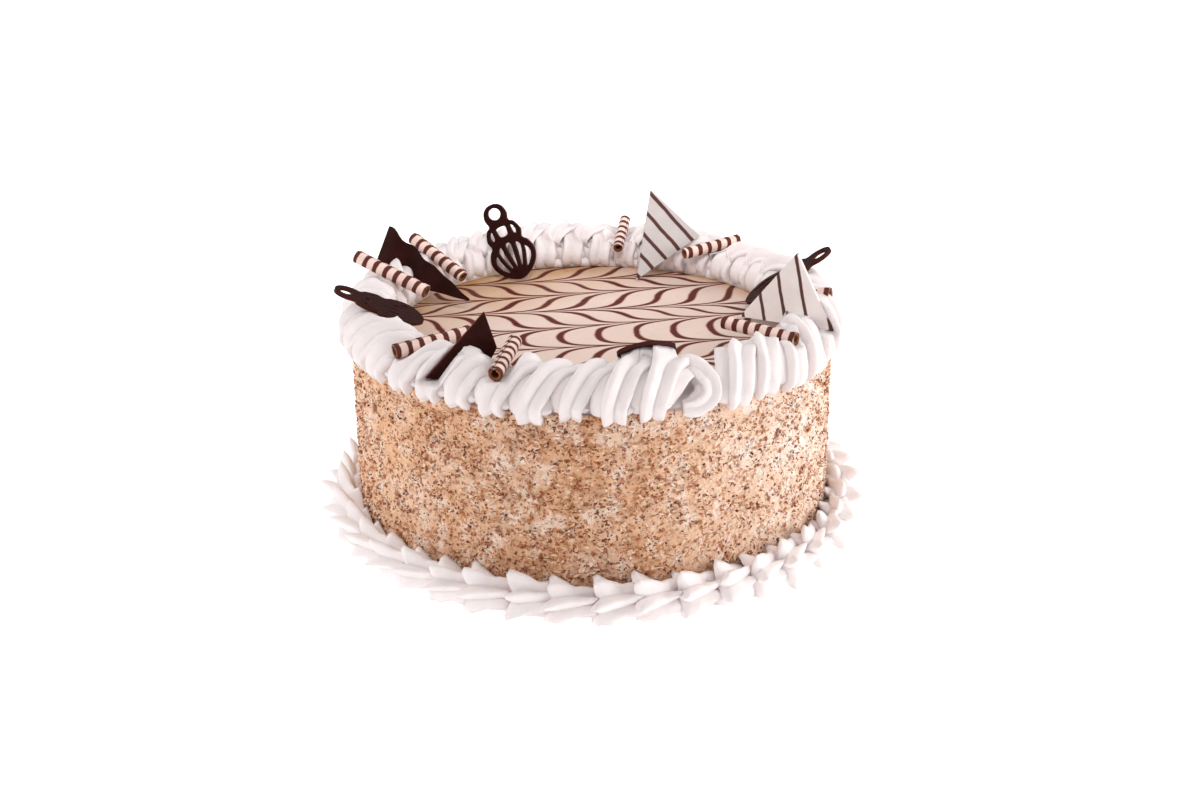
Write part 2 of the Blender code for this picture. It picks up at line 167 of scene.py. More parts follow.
# The strand: radius, width across it, depth of the grooves, sharpness of the ridges, and how far it stays
# from the wall under it
ROPE_TUBE = 0.0085
ROPE_WIDENING = 1.30
ROPE_GROOVE = 0.43
ROPE_RIDGE_SHARPNESS = 0.85
ROPE_WALL_CLEARANCE = -0.0003

# How many coils the strand runs past its first and last one
ROPE_ENDS = (-0.06, 0.62)

# Steps over which the strand swells at its start and narrows at its end, and its thickness at both
ROPE_TAPER = (5.0, 3.0)
ROPE_TIP = 0.35

# Rows at the strand's end that are torn
TORN_ROWS = 12

# What differs from coil to coil: size round the core, rise, place along the rim and thickness
COIL_SWING = (-0.12, 0.10)
COIL_RISE = (-0.0010, 0.0006)
COIL_SWAY = (-0.08, 0.08)
COIL_THICKNESS = (0.92, 1.06)

# One coil of the rope's strand: share of a coil round the rim, radius, rise over the icing and thickness
ROPE_COIL = (
    (-0.09, 0.1200, 0.0022, 0.84),
    (-0.10, 0.1194, 0.0064, 0.98),
    (0.02, 0.1164, 0.0112, 1.02),
    (0.30, 0.1120, 0.0150, 1.02),
    (0.66, 0.1084, 0.0161, 0.98),
    (0.98, 0.1056, 0.0124, 0.92),
    (1.06, 0.1000, 0.0068, 0.92),
    (0.94, 0.1070, 0.0025, 0.82),
)

# Short strand that closes the rope: angle in degrees, radius, rise over the icing and thickness
CLOSING_STRAND = (
    (291.8, 0.1050, 0.0165, 0.0034),
    (293.4, 0.1080, 0.0178, 0.0050),
    (295.4, 0.1120, 0.0160, 0.0062),
    (296.8, 0.1165, 0.0108, 0.0070),
    (296.0, 0.1194, 0.0048, 0.0070),
    (292.8, 0.1202, 0.0014, 0.0060),
    (289.6, 0.1196, 0.0014, 0.0036),
)

# Its steps, how many of them are blurred into one, and how far its section leans up
CLOSING_STEPS = 60
CLOSING_BLUR = 9
CLOSING_LEAN = 0.2

# Bed of cream under the rope: radius and rise over the icing
ROPE_BED = (
    (0.0985, 0.0003), (0.0995, 0.0030), (0.1020, 0.0060), (0.1060, 0.0085), (0.1100, 0.0075),
    (0.1140, 0.0050), (0.1166, 0.0024), (0.1174, 0.0008), (0.1174, 0.0003),
)
BED_COLUMNS = 320
BED_LUMPY_FROM = 0.001

# How cream gives way to each kind of ornament: how far the dent fades, and the deepest cream it clears
LEAF_PRESS = (0.0035, 0.0060)
ROLL_PRESS = (0.0085, 0.014)
PLATE_PRESS = (0.003, 0.03)
PRESS_GAP = 0.0004

# Share of each roll's length, from its outer end, that lies on the rope
LYING_ROLLS = {"roll_3": 0.62, "roll_4": 1.0, "roll_5": 1.0, "roll_6": 1.0, "roll_7": 1.0}

# Bed of a roll in the cream: half width and depth as parts of its radius, and how far it passes the ends
ROLL_BED = (0.75, 0.8, 0.001)

# Bed of a leaf in the cream, as parts of the leaf's length and of half its width
LEAF_BED = ((0.0, 0.0), (0.35, 1.0), (1.0, 0.5), (1.0, -0.5), (0.35, -1.0))
LEAF_BED_WIDTH = 0.29

# Shells of cream round the foot: their number, place and length as parts of their pitch, the distance of
# their middle from the wall and from the ground, and how near they come to the ground
SHELL_COUNT = 41
SHELL_PHASE = -0.2
SHELL_LENGTH = 1.06
SHELL_CENTRE_OUT = 0.0072
SHELL_CENTRE_RISE = 0.0086
SHELL_REST = 0.00005

# Steps along a shell, points round it, and the nozzle's ridges
SHELL_STEPS = 24
SHELL_POINTS = 48
SHELL_LOBES = 6

# A shell's radius, depth of its grooves, turn along its length, and how far its tips lean, how far they
# stand out and how sharp they are
SHELL_TUBE = 0.0098
SHELL_GROOVE = 0.36
SHELL_TWIST = 0.9
SHELL_LEAN = 0.0036
SHELL_FLARE = 0.38
SHELL_TIP_SHARPNESS = 1.2

# Parts by which a shell's middle draws in and sinks towards its end
SHELL_DRAW_IN = 0.25
SHELL_SINK = 0.30

# What differs from shell to shell: size, turn, place along the foot and length of the tips
SHELL_SIZES = (0.88, 1.06)
SHELL_TURNS = (-0.8, 0.8)
SHELL_SHIFTS = (-0.07, 0.07)
SHELL_TIP_LENGTHS = (-0.35, 0.35)

# Thickness of a shell along its length, and the strength of the star's tips at its mouth and its end
SHELL_GIRTH = (
    (0.0, 0.10), (0.06, 0.80), (0.18, 1.05), (0.40, 1.02), (0.65, 0.86), (0.85, 0.60), (1.0, 0.2),
)
SHELL_TIPS = (
    (0.0, 0.0), (0.06, -0.9), (0.18, -1.0), (0.40, -0.45), (0.62, 0.2), (0.84, 1.1), (1.0, 0.0),
)

# Lines piped on the icing: pitch, place of the first, slope, width, softness of the edge, tinge beside
# them, how a stroke widens them, how much the icing's blotches move them, and the parts of their half
# width that stay and that vary
LINE_PITCH = 0.0194
LINE_OFFSET = -0.0004
LINE_TILT = math.tan(math.radians(4.8))
LINE_WIDTH = 0.0030
LINE_EDGE = 0.00035
LINE_HALO = 0.0009
LINE_SPREAD = 3.6
LINE_SWAY = 0.0010
LINE_HALF_STEADY = 0.4
LINE_HALF_VARYING = 0.2

# Strokes that feather the lines: how far they pull them, and how wide they act
STROKE_PULL = 0.030
STROKE_SPREAD = 0.0045

# Each stroke: where it crosses X = 0, its slope in degrees, and the side it is pulled towards
STROKES = (
    (-0.0830, 9.0, 1.0),
    (-0.0560, 9.0, -1.0),
    (-0.0285, 7.8, 1.0),
    (0.0014, 12.8, 1.0),
    (0.0262, 7.0, -1.0),
    (0.0532, 12.1, 1.0),
    (0.0765, 8.6, -1.0),
    (0.1000, 9.0, 1.0),
)

# Golden painted shade on the icing, in the corner by the rope and towards the far left and back: radii
# between which it grows and its strength at the rim, its growth to the left and to the back, the values
# between which that shows, its uneven and its steady part, and the strength of the tinge beside the lines
ICING_PAINTED_SHADE_RIM = (0.088, 0.098, 0.0, 0.75)
ICING_PAINTED_SHADE_LEFT = -0.6
ICING_PAINTED_SHADE_BACK = 0.8
ICING_PAINTED_SHADE_FAR = (0.03, 0.095)
ICING_PAINTED_SHADE_UNEVEN = 0.5
ICING_PAINTED_SHADE_STEADY = 0.58
HALO_SHARE = 0.75

# Wafer rolls: turns of the sheet, its thickness, radius of the bore, and steps along a section and a roll
ROLL_WINDS = 1.9
ROLL_SHEET = 0.00085
ROLL_BORE = 0.0015
ROLL_STEPS = 84
ROLL_ROWS = 26

# Uneven thickness of a roll: its share, its waves along the roll, and how they shift with the radius
ROLL_SWELL = (0.012, 9.0, 4000.0)

# Bands of a roll: pitch, share that is dark, slant in metres per radian, unevenness and soft edge
ROLL_STRIPE_PITCH = 0.0060
ROLL_STRIPE_SHARE = 0.44
ROLL_STRIPE_SLANT = 0.00018
ROLL_STRIPE_WAVE = 0.0004
ROLL_STRIPE_EDGE = 0.03

# Painted shade inside a roll: how its mark, which grows the deeper a place lies in the roll, falls along
# the sheet's outer and inner face, and the marks between which the painted shade grows dark and then brown
ROLL_PAINTED_SHADE_FALL = (0.5, 0.55)
ROLL_PAINTED_SHADE_DARK = (0.0, 0.45)
ROLL_PAINTED_SHADE_BROWN = (0.6, 1.1)

# Striped plates: first stripe, pitch, slant in degrees, bow, and painted shading on the white between: a
# factor that darkens the back plate, which gets less light, and lightens the right one a little
STRIPES = {
    "striped_triangle_back": (0.0016, 0.0088, 52.0, 0.6, 0.68),
    "striped_triangle_right": (0.0009, 0.0130, 54.0, 1.2, 1.02),
}

# Stripes: width, unevenness, soft edge, and how dark they are next to the icing's lines
STRIPE_WIDTH = 0.0020
STRIPE_WAVE = 0.0004
STRIPE_EDGE = 0.0002
STRIPE_DARKENING = 0.75

# Plates of chocolate: thickness and rounding of the edges
PLATE_THICKNESS = 0.0016
PLATE_ROUNDING = 0.0003

# Strip of each plate that the cream leaves free: its lower corner and how far it goes towards another
PLATE_STRIPS = {"dark_triangle": (1, 2, 0.22), "striped_triangle_right": (2, 1, 0.5)}

# Wavy plate: its steps and rows, depth and number of its waves and of its upper edge's scallops, and how
# far it reaches towards its tip
WAVE_STEPS = 60
WAVE_ROWS = 12
WAVE_DEPTH = 0.0013
WAVE_COUNT = 2.5
WAVE_SCALLOP = 0.0011
WAVE_SCALLOPS = 4.0
WAVE_REACH = 0.96

# Filigree leaf: half outline and openings, as parts of its length from the bottom point
LEAF_HALF = (
    (0.000, 0.005), (0.105, 0.036), (0.205, 0.100), (0.290, 0.200), (0.318, 0.310), (0.280, 0.425),
    (0.222, 0.492), (0.248, 0.590), (0.200, 0.705), (0.140, 0.752), (0.160, 0.850), (0.127, 0.945),
    (0.050, 0.996),
)
LEAF_SIDE_HOLES = (
    ((0.110, 0.105), (0.205, 0.165), (0.262, 0.260), (0.262, 0.340), (0.205, 0.402), (0.180, 0.300)),
    ((0.050, 0.150), (0.090, 0.160), (0.155, 0.330), (0.172, 0.440), (0.106, 0.488), (0.085, 0.330)),
    ((0.132, 0.575), (0.176, 0.556), (0.196, 0.600), (0.176, 0.668), (0.132, 0.694)),
)
LEAF_MIDDLE_HOLES = (
    ((-0.010, 0.140), (0.010, 0.140), (0.036, 0.330), (0.045, 0.500), (-0.045, 0.500), (-0.036, 0.330)),
    ((-0.060, 0.570), (0.060, 0.570), (0.086, 0.640), (0.075, 0.706), (-0.075, 0.706), (-0.086, 0.640)),
)

# Ring at a leaf's top: its middle, half width, half height and points
LEAF_LOOP = (0.877, 0.090, 0.076)
LEAF_LOOP_POINTS = 8

# Points between two corners of an outline, and what the smooth outlines are scaled by across the leaf
LEAF_SMOOTHING = 6
LEAF_LENGTH = 0.0424
LEAF_THICKNESS = 0.0018

# Points of a leaf's outlines that lie nearer than this are joined
LEAF_JOIN = 1e-7

# Size of each leaf's openings, and how far it tips towards the view in degrees
LEAF_OPENNESS = {
    "lattice_back_left": 0.84,
    "lattice_left": 0.32,
    "lattice_right": 0.8,
    "lattice_front": 0.3,
}
LEAF_TIPPING = {"lattice_front": 14.0}

# Camera fitted to the view: pitch below the horizon, distance from the point it turns round, shift of the
# aim, roll, height of that point, lens and sensor in millimetres
CAMERA_PITCH = math.radians(22.07)
CAMERA_DISTANCE = 0.925
CAMERA_AIM = (0.0038, 0.0053)
CAMERA_ROLL = math.radians(-0.2)
CAMERA_HEIGHT = 0.05
CAMERA_LENS = 54.0
CAMERA_SENSOR = 36.0

# Painted light: how much lighter the cream at the foot is painted than the cream on the rim, as the foot
# gets less light
FOOT_PAINTED_LIGHT = 1.17

# How strongly dark chocolate gets a painted highlight on its edges, lighter and warmer, on the flat plate,
# the wavy plate and the leaves, and how far its surface turns from the plate's face where that starts and
# is full
PLATE_PAINTED_HIGHLIGHT_SHARE = 0.9
WAVE_PAINTED_HIGHLIGHT_SHARE = 0.0
LEAF_PAINTED_HIGHLIGHT_SHARE = 0.25
PAINTED_HIGHLIGHT_FACING = (0.95, 0.5)

# Share of the dark chocolate's blotches that shows as bloom
BLOOM_SHARE = 0.5

# Floor: half its side, and its own glow, which is held back near the torte: radii and strengths
FLOOR_HALF = 3.0
FLOOR_GLOW_REACH = (0.145, 0.26)
FLOOR_GLOW = (0.45, 0.6)

# Light from all round, and soft lights: name, place, size, power, aim and width of the beam in degrees
STUDIO_COLOUR = (1.0, 0.98, 0.97, 1.0)
STUDIO_STRENGTH = 0.40
LIGHT_AIM = (0.0, 0.0, 0.06)
LIGHTS = (
    ("key", (-0.7, -0.8, 1.1), 0.6, 3.2, LIGHT_AIM, 180.0),
    ("back_right", (0.9, 0.5, 0.8), 0.7, 5.4, LIGHT_AIM, 180.0),
    ("back_left", (-0.8, 0.7, 0.9), 0.7, 3.8, LIGHT_AIM, 180.0),
    ("side_right", (1.2, -0.35, 0.35), 0.6, 6.8, LIGHT_AIM, 180.0),
    ("side_left", (-1.2, -0.45, 0.4), 0.6, 2.8, LIGHT_AIM, 180.0),
    ("far_rim", (0.05, -0.30, 0.50), 0.15, 0.13, (0.0, 0.125, 0.11), 48.0),
)

# Blotches and grain of the mottle: detail, the range of the noise that is used, and how fine the grain is
BLOTCH_DETAIL = 3.0
BLOTCH_RANGE = (0.35, 0.65)
GRAIN_DETAIL = 4.0
GRAIN_RANGE = (0.3, 0.7)
GRAIN_FINENESS = 7.0

# A finish: fineness of its mottle, then how much lighter its blotches are, the range of its roughness and
# the depth of its bump, where it has them, and last what is the same all over it
Finish = namedtuple("Finish", "fineness lightening roughness bump constants")
CREAM_FINISH = Finish(60.0, 1.05, (0.42, 0.58), 0.00012, {
    "Roughness": 0.5,
    "Subsurface Weight": 0.35,
    "Subsurface Radius": (1.0, 0.92, 0.86),
    "Subsurface Scale": 0.002,
    "Specular IOR Level": 0.35,
})
COAT_FINISH = Finish(95.0, None, None, 0.0006, {
    "Roughness": 0.8,
    "Specular IOR Level": 0.3,
})
CRUMB_FINISH = Finish(260.0, 1.2, None, None, {
    "Subsurface Weight": 0.1,
    "Subsurface Scale": 0.001,
    "Specular IOR Level": 0.4,
})
ICING_FINISH = Finish(45.0, 1.06, (0.26, 0.38), 0.00008, {
    "Roughness": 0.3,
    "Subsurface Weight": 0.12,
    "Subsurface Scale": 0.002,
    "Specular IOR Level": 0.3,
    "IOR": 1.13,
})
DARK_FINISH = Finish(120.0, 1.9, (0.3, 0.45), 0.0001, {
    "Roughness": 0.36,
    "Specular IOR Level": 0.4,
    "IOR": 1.12,
})
WHITE_FINISH = Finish(90.0, 1.08, (0.32, 0.44), 0.00008, {
    "Roughness": 0.38,
    "Subsurface Weight": 0.08,
    "Subsurface Scale": 0.001,
})
WAFER_FINISH = Finish(220.0, 1.12, None, 0.0001, {
    "Roughness": 0.5,
    "Specular IOR Level": 0.4,
    "IOR": 1.25,
})
FLOOR_FINISH = Finish(3.0, 1.01, None, None, {
    "Roughness": 0.6,
    "Specular IOR Level": 0.0,
    "Emission Color": (1.0, 1.0, 1.0, 1.0),
})

# Colours that aren't offered as settings, as linear red, green and blue
SHADES = {
    "nut_cream": (0.93, 0.68, 0.50),
    "nut_light": (0.85, 0.53, 0.335),
    "nut_tan": (0.66, 0.34, 0.17),
    "nut_orange": (0.46, 0.17, 0.06),
    "nut_red_brown": (0.20, 0.050, 0.018),
    "nut_dark": (0.022, 0.010, 0.008),
    "coat_white_and_painted_light": (0.94, 0.82, 0.73),
    "coat_brown_and_painted_shade": (0.46, 0.21, 0.10),
    "icing_painted_shade": (0.50, 0.27, 0.11),
    "icing_halo": (0.34, 0.10, 0.075),
    "wafer_painted_shade": (0.34, 0.14, 0.04),
    "chocolate_painted_highlight": (0.15, 0.035, 0.022),
    "floor": (0.92, 0.92, 0.92),
}

# What all colour settings share
COLOUR_SETTING = {"min": 0.0, "max": 1.0, "subtype": "COLOR"}


class TorteSizes(bpy.types.PropertyGroup):
    """Sizes that change how fine or how deep the torte's surfaces are."""

    crumb_share: FloatProperty(
        name="Crumb share",
        description="Share of the full number of nut crumbs that is laid on the side",
        default=1.0,
        min=0.0,
        max=1.0,
        subtype="FACTOR",
    )
    rope_coils: IntProperty(
        name="Rope coils",
        description="Number of coils in the rope of cream on the rim",
        default=ROPE_COILS,
        min=12,
        max=60,
    )
    rope_tube: FloatProperty(
        name="Rope thickness",
        description="Radius of the cream that the nozzle lays on the rim",
        default=ROPE_TUBE,
        min=0.004,
        max=0.012,
        unit="LENGTH",
    )
    shell_count: IntProperty(
        name="Foot shells",
        description="Number of cream shells round the foot",
        default=SHELL_COUNT,
        min=12,
        max=60,
    )
    line_width: FloatProperty(
        name="Icing line width",
        description="Width of the chocolate lines in the icing before they are feathered",
        default=LINE_WIDTH,
        min=0.0005,
        max=0.008,
        unit="LENGTH",
    )


class TorteColours(bpy.types.PropertyGroup):
    """Colours of the torte's finishes."""

    cream: FloatVectorProperty(
        name="Cream",
        description="Colour of the whipped cream",
        default=(0.81, 0.74, 0.735),
        **COLOUR_SETTING,
    )
    nuts: FloatVectorProperty(
        name="Nut coat",
        description="Main colour of the ground nuts between the crumbs",
        default=(0.88, 0.53, 0.325),
        **COLOUR_SETTING,
    )
    icing: FloatVectorProperty(
        name="Icing",
        description="Colour of the poured icing",
        default=(0.665, 0.515, 0.445),
        **COLOUR_SETTING,
    )
    icing_line: FloatVectorProperty(
        name="Icing lines",
        description="Colour of the feathered chocolate lines",
        default=(0.10, 0.022, 0.016),
        **COLOUR_SETTING,
    )
    dark_chocolate: FloatVectorProperty(
        name="Dark chocolate",
        description="Colour of the dark plates and leaves",
        default=(0.022, 0.006, 0.005),
        **COLOUR_SETTING,
    )
    white_chocolate: FloatVectorProperty(
        name="White chocolate",
        description="Colour of the striped plates between their stripes",
        default=(0.78, 0.71, 0.69),
        **COLOUR_SETTING,
    )
    wafer_light: FloatVectorProperty(
        name="Wafer, light",
        description="Light colour of the striped rolls",
        default=(0.80, 0.60, 0.53),
        **COLOUR_SETTING,
    )
    wafer_dark: FloatVectorProperty(
        name="Wafer, dark",
        description="Colour of the bands of the striped rolls",
        default=(0.11, 0.025, 0.018),
        **COLOUR_SETTING,
    )


def polar(radius, angle, level):
    """Points at radii, angles about Z and heights, as an array whose last side is X, Y and Z."""
    radius, angle, level = np.broadcast_arrays(radius, angle, level)
    return np.stack([radius * np.cos(angle), radius * np.sin(angle), level], axis=-1)


def smooth_noise(points, size, shift):
    """Smooth noise between -1 and 1 at each point, with lumps of about the given size."""
    shape = points.shape[:-1]
    places = points.reshape(-1, 3) / size + shift
    values = [noise.noise(place) for place in places.tolist()]
    return np.array(values).reshape(shape)


def relief(points, size, height, shift):
    """How far an uneven surface stands out at each point."""
    return height * smooth_noise(points, size, shift)


def ridge_share(turn, lobes):
    """How near each angle of a star-piped section is to a ridge: 1 on it and 0 in a groove."""
    part = turn * lobes / (2.0 * math.pi)
    return 1.0 - 2.0 * np.abs(part - np.round(part))


def smooth_step(value):
    """Ease from 0 to 1 while the value runs from 0 to 1."""
    value = np.clip(value, 0.0, 1.0)
    return value * value * (3.0 - 2.0 * value)


def mesh_from(name, points, faces):
    """Mesh of points and faces, shaded smooth."""
    mesh = bpy.data.meshes.new(name)
    mesh.from_pydata(points.tolist(), [], faces)
    mesh.validate()
    mesh.shade_smooth()
    return mesh


def lattice_faces(rows, columns, loop_rows, loop_columns, start=0):
    """Quads of a grid of points, which may close on itself either way."""
    index = np.arange(rows * columns).reshape(rows, columns) + start
    if loop_rows:
        index = np.vstack([index, index[:1]])
    if loop_columns:
        index = np.hstack([index, index[:, :1]])
    quads = np.stack([index[:-1, :-1], index[:-1, 1:], index[1:, 1:], index[1:, :-1]], axis=-1)
    return quads.reshape(-1, 4).tolist()


def tube_faces(rows, columns, start=0):
    """Quads of a tube of closed sections, with its two ends shut."""
    faces = lattice_faces(rows, columns, False, True, start)
    last = start + (rows - 1) * columns
    faces.append(list(range(start + columns - 1, start - 1, -1)))
    faces.append(list(range(last, last + columns)))
    return faces


def outward(mesh):
    """Turn the faces of closed bodies outward."""
    bm = bmesh.new()
    bm.from_mesh(mesh)
    bmesh.ops.recalc_face_normals(bm, faces=bm.faces)
    bm.to_mesh(mesh)
    bm.free()


def add_piece(name, mesh, material, nodes=(), placing=None):
    """Add a mesh as a piece of the torte, in place of the frame's nodes that it stands for."""
    piece = bpy.data.objects.new(name, mesh)
    bpy.context.scene.collection.objects.link(piece)
    if placing is not None:
        piece.matrix_world = placing
    mesh.materials.append(material)
    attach(piece, "root")
    if nodes:
        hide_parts(*nodes)
    return piece


def round_edges(piece, width, steps):
    """Round a piece's sharp edges."""
    rounding = piece.modifiers.new("rounding", "BEVEL")
    rounding.width = width
    rounding.segments = steps
    rounding.limit_method = "ANGLE"
    rounding.angle_limit = SHARP_EDGE
    piece.data.set_sharp_from_angle(angle=SHARP_EDGE)


def node_points(node):
    """The different corners of a frame node."""
    points = np.array([vertex.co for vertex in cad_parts[node].data.vertices])
    return np.unique(points.round(6), axis=0)


def principal_axes(points):
    """Middle of a symmetric piece and its axes, the longest spread first."""
    middle = points.mean(axis=0)
    _, _, axes = np.linalg.svd(points - middle, full_matrices=False)
    return middle, axes


def placing_from(origin, along, side):
    """Placing whose X runs along one direction and whose Y lies nearest to another."""
    x_axis = Vector(along).normalized()
    y_axis = (Vector(side) - x_axis * x_axis.dot(Vector(side))).normalized()
    turn = Matrix((x_axis, y_axis, x_axis.cross(y_axis))).transposed().to_4x4()
    return Matrix.Translation(Vector(origin)) @ turn


def add_node(tree, kind, inputs=None, **settings):
    """Add a shader node, set its properties, and set or link its inputs."""
    node = tree.nodes.new(kind)
    for name, value in settings.items():
        setattr(node, name, value)
    for name, value in (inputs or {}).items():
        if isinstance(value, bpy.types.NodeSocket):
            tree.links.new(value, node.inputs[name])
        else:
            node.inputs[name].default_value = value
    return node


def calculate(tree, operation, first, second=0.0, third=0.0, clamp=False):
    """Add a math node and return its result."""
    values = {0: first, 1: second, 2: third}
    return add_node(tree, "ShaderNodeMath", values, operation=operation, use_clamp=clamp).outputs[0]


def blend_colours(tree, share, first, second):
    """Mix two colours by a share and return the result."""
    mix = add_node(tree, "ShaderNodeMix", data_type="RGBA")
    for place, value in ((0, share), (6, first), (7, second)):
        if isinstance(value, bpy.types.NodeSocket):
            tree.links.new(value, mix.inputs[place])
        elif place == 0:
            mix.inputs[place].default_value = value
        else:
            mix.inputs[place].default_value = (*value, 1.0)
    return mix.outputs[2]


def scaled(tree, value, from_low, from_high, to_low=0.0, to_high=1.0):
    """Map a value from one range to another, held inside it."""
    ranges = {"From Min": from_low, "From Max": from_high, "To Min": to_low, "To Max": to_high}
    return add_node(tree, "ShaderNodeMapRange", {"Value": value, **ranges}, clamp=True).outputs[0]


def mottle_group():
    """Shader group: soft blotches of a given size, and finer grain on them, each from 0 to 1."""
    if "Mottle" in bpy.data.node_groups:
        return bpy.data.node_groups["Mottle"]
    tree = bpy.data.node_groups.new("Mottle", "ShaderNodeTree")
    tree.interface.new_socket("Place", in_out="INPUT", socket_type="NodeSocketVector")
    tree.interface.new_socket("Fineness", in_out="INPUT", socket_type="NodeSocketFloat")
    tree.interface.new_socket("Blotches", in_out="OUTPUT", socket_type="NodeSocketFloat")
    tree.interface.new_socket("Grain", in_out="OUTPUT", socket_type="NodeSocketFloat")
    entry = add_node(tree, "NodeGroupInput")
    leave = add_node(tree, "NodeGroupOutput")
    place = entry.outputs["Place"]
    fineness = entry.outputs["Fineness"]
    broad_settings = {"Vector": place, "Scale": fineness, "Detail": BLOTCH_DETAIL}
    broad = add_node(tree, "ShaderNodeTexNoise", broad_settings)
    finer = calculate(tree, "MULTIPLY", fineness, GRAIN_FINENESS)
    grain_settings = {"Vector": place, "Scale": finer, "Detail": GRAIN_DETAIL}
    grain = add_node(tree, "ShaderNodeTexNoise", grain_settings)
    tree.links.new(scaled(tree, broad.outputs[0], *BLOTCH_RANGE), leave.inputs["Blotches"])
    tree.links.new(scaled(tree, grain.outputs[0], *GRAIN_RANGE), leave.inputs["Grain"])
    return tree


def new_material(name, finish):
    """Return a material, its node tree, its Principled shader and its object coordinates."""
    material = bpy.data.materials.new(name)
    material.use_nodes = True
    tree = material.node_tree
    shader = tree.nodes["Principled BSDF"]
    for socket, value in finish.constants.items():
        shader.inputs[socket].default_value = value
    place = add_node(tree, "ShaderNodeTexCoord").outputs["Object"]
    return material, tree, shader, place


def add_mottle(tree, place, fineness):
    """Place the mottle group in a material and return its blotches and grain."""
    mottle = add_node(tree, "ShaderNodeGroup", node_tree=mottle_group())
    tree.links.new(place, mottle.inputs["Place"])
    mottle.inputs["Fineness"].default_value = fineness
    return mottle.outputs["Blotches"], mottle.outputs["Grain"]


def connect(tree, shader, finish, tint, grain=None, height=None):
    """Feed a material's colour, and its roughness and bump where its finish has them."""
    tree.links.new(tint, shader.inputs["Base Color"])
    if finish.roughness:
        roughness = scaled(tree, grain, 0.0, 1.0, *finish.roughness)
        tree.links.new(roughness, shader.inputs["Roughness"])
    if finish.bump:
        bump = add_node(tree, "ShaderNodeBump", {"Height": height, "Distance": finish.bump})
        tree.links.new(bump.outputs["Normal"], shader.inputs["Normal"])


def lighter(colour, factor):
    """A colour made lighter or darker by a factor, held below white."""
    return tuple(min(1.0, channel * factor) for channel in colour)


def cream_material(name, colour):
    """Whipped cream: soft, slightly see-through white with faint small bubbles."""
    material, tree, shader, place = new_material(name, CREAM_FINISH)
    blotches, grain = add_mottle(tree, place, CREAM_FINISH.fineness)
    tint = blend_colours(tree, blotches, colour, lighter(colour, CREAM_FINISH.lightening))
    connect(tree, shader, CREAM_FINISH, tint, grain, grain)
    return material


def coat_patches_and_painted_shading(tree, place):
    """Where the nut side is whitish and where it is brown, each from 0 to 1: painted light towards +X and
    real whitish patches, then painted shade round the middle of the front and real brown patches.
    """
    x_place = add_node(tree, "ShaderNodeSeparateXYZ", {"Vector": place}).outputs[0]
    away = calculate(tree, "ABSOLUTE", calculate(tree, "SUBTRACT", x_place, COAT_PAINTED_SHADE_MIDDLE))
    front = scaled(tree, away, *COAT_PAINTED_SHADE_REACH)
    wide, _ = add_mottle(tree, place, WIDE_PATCH_FINENESS)
    patches, _ = add_mottle(tree, place, SMALL_PATCH_FINENESS)
    pale = calculate(tree, "ADD", scaled(tree, x_place, *PAINTED_LIGHT_SIDE), scaled(tree, wide, *PALE_WIDE))
    small = scaled(tree, patches, *PALE_PATCHES)
    pale = calculate(tree, "MULTIPLY_ADD", small, PALE_PATCH_SHARE, pale, clamp=True)
    small = scaled(tree, patches, *BROWN_PATCHES)
    return pale, calculate(tree, "MULTIPLY_ADD", front, COAT_PAINTED_SHADE_SHARE, small)


def coat_material(colour):
    """Ground nuts and cream between the crumbs: beige with whitish and brown patches, with painted light
    towards +X and painted shade round the middle of the front.
    """
    material, tree, shader, place = new_material("nut_coat", COAT_FINISH)
    patches, specks = add_mottle(tree, place, COAT_FINISH.fineness)
    pale, brown = coat_patches_and_painted_shading(tree, place)
    # Painted shade round the middle of the front and real brown patches, then painted light towards +X and
    # real whitish patches
    tint = blend_colours(tree, brown, colour, SHADES["coat_brown_and_painted_shade"])
    tint = blend_colours(tree, pale, tint, SHADES["coat_white_and_painted_light"])
    shown = scaled(tree, specks, *FLECK_GRAIN)
    flecks = calculate(tree, "MULTIPLY", shown, scaled(tree, patches, *FLECK_BLOTCHES))
    tint = blend_colours(tree, flecks, tint, SHADES["nut_red_brown"])
    connect(tree, shader, COAT_FINISH, tint, height=specks)
    return material


def crumb_material(name, first, second, roughness, toning):
    """Nut crumbs: each crumb has its own tone between two colours."""
    material, tree, shader, place = new_material(name, CRUMB_FINISH)
    shader.inputs["Roughness"].default_value = roughness
    tone = add_node(tree, "ShaderNodeAttribute", attribute_name="tone").outputs["Fac"]
    _, grain = add_mottle(tree, place, CRUMB_FINISH.fineness)
    tint = blend_colours(tree, tone, first, second)
    grainy = calculate(tree, "MULTIPLY", grain, CRUMB_GRAIN_SHARE)
    tint = blend_colours(tree, grainy, tint, lighter(first, CRUMB_FINISH.lightening))
    # The crumbs take on the coat's patches, its painted light and its painted shade, by their toning
    pale, brown = coat_patches_and_painted_shading(tree, place)
    for share, shade in ((brown, "coat_brown_and_painted_shade"), (pale, "coat_white_and_painted_light")):
        tint = blend_colours(tree, calculate(tree, "MULTIPLY", share, toning), tint, SHADES[shade])
    connect(tree, shader, CRUMB_FINISH, tint)
    return material


def feather_shift(tree, x_place, y_place):
    """How far the feathering strokes have pulled the lines sideways, and how steeply."""
    total = 0.0
    steep = 0.0
    for crossing, slope, side in STROKES:
        tilt = math.tan(math.radians(slope))
        across = calculate(tree, "MULTIPLY_ADD", x_place, -tilt, y_place)
        away = calculate(tree, "ABSOLUTE", calculate(tree, "SUBTRACT", across, crossing))
        fading = calculate(tree, "MULTIPLY_ADD", away, 1.0 / STROKE_SPREAD, 1.0)
        pull = calculate(tree, "POWER", fading, -2.0)
        total = calculate(tree, "MULTIPLY_ADD", pull, side * STROKE_PULL, total)
        steep = calculate(tree, "ADD", calculate(tree, "POWER", fading, -3.0), steep)
    return total, steep


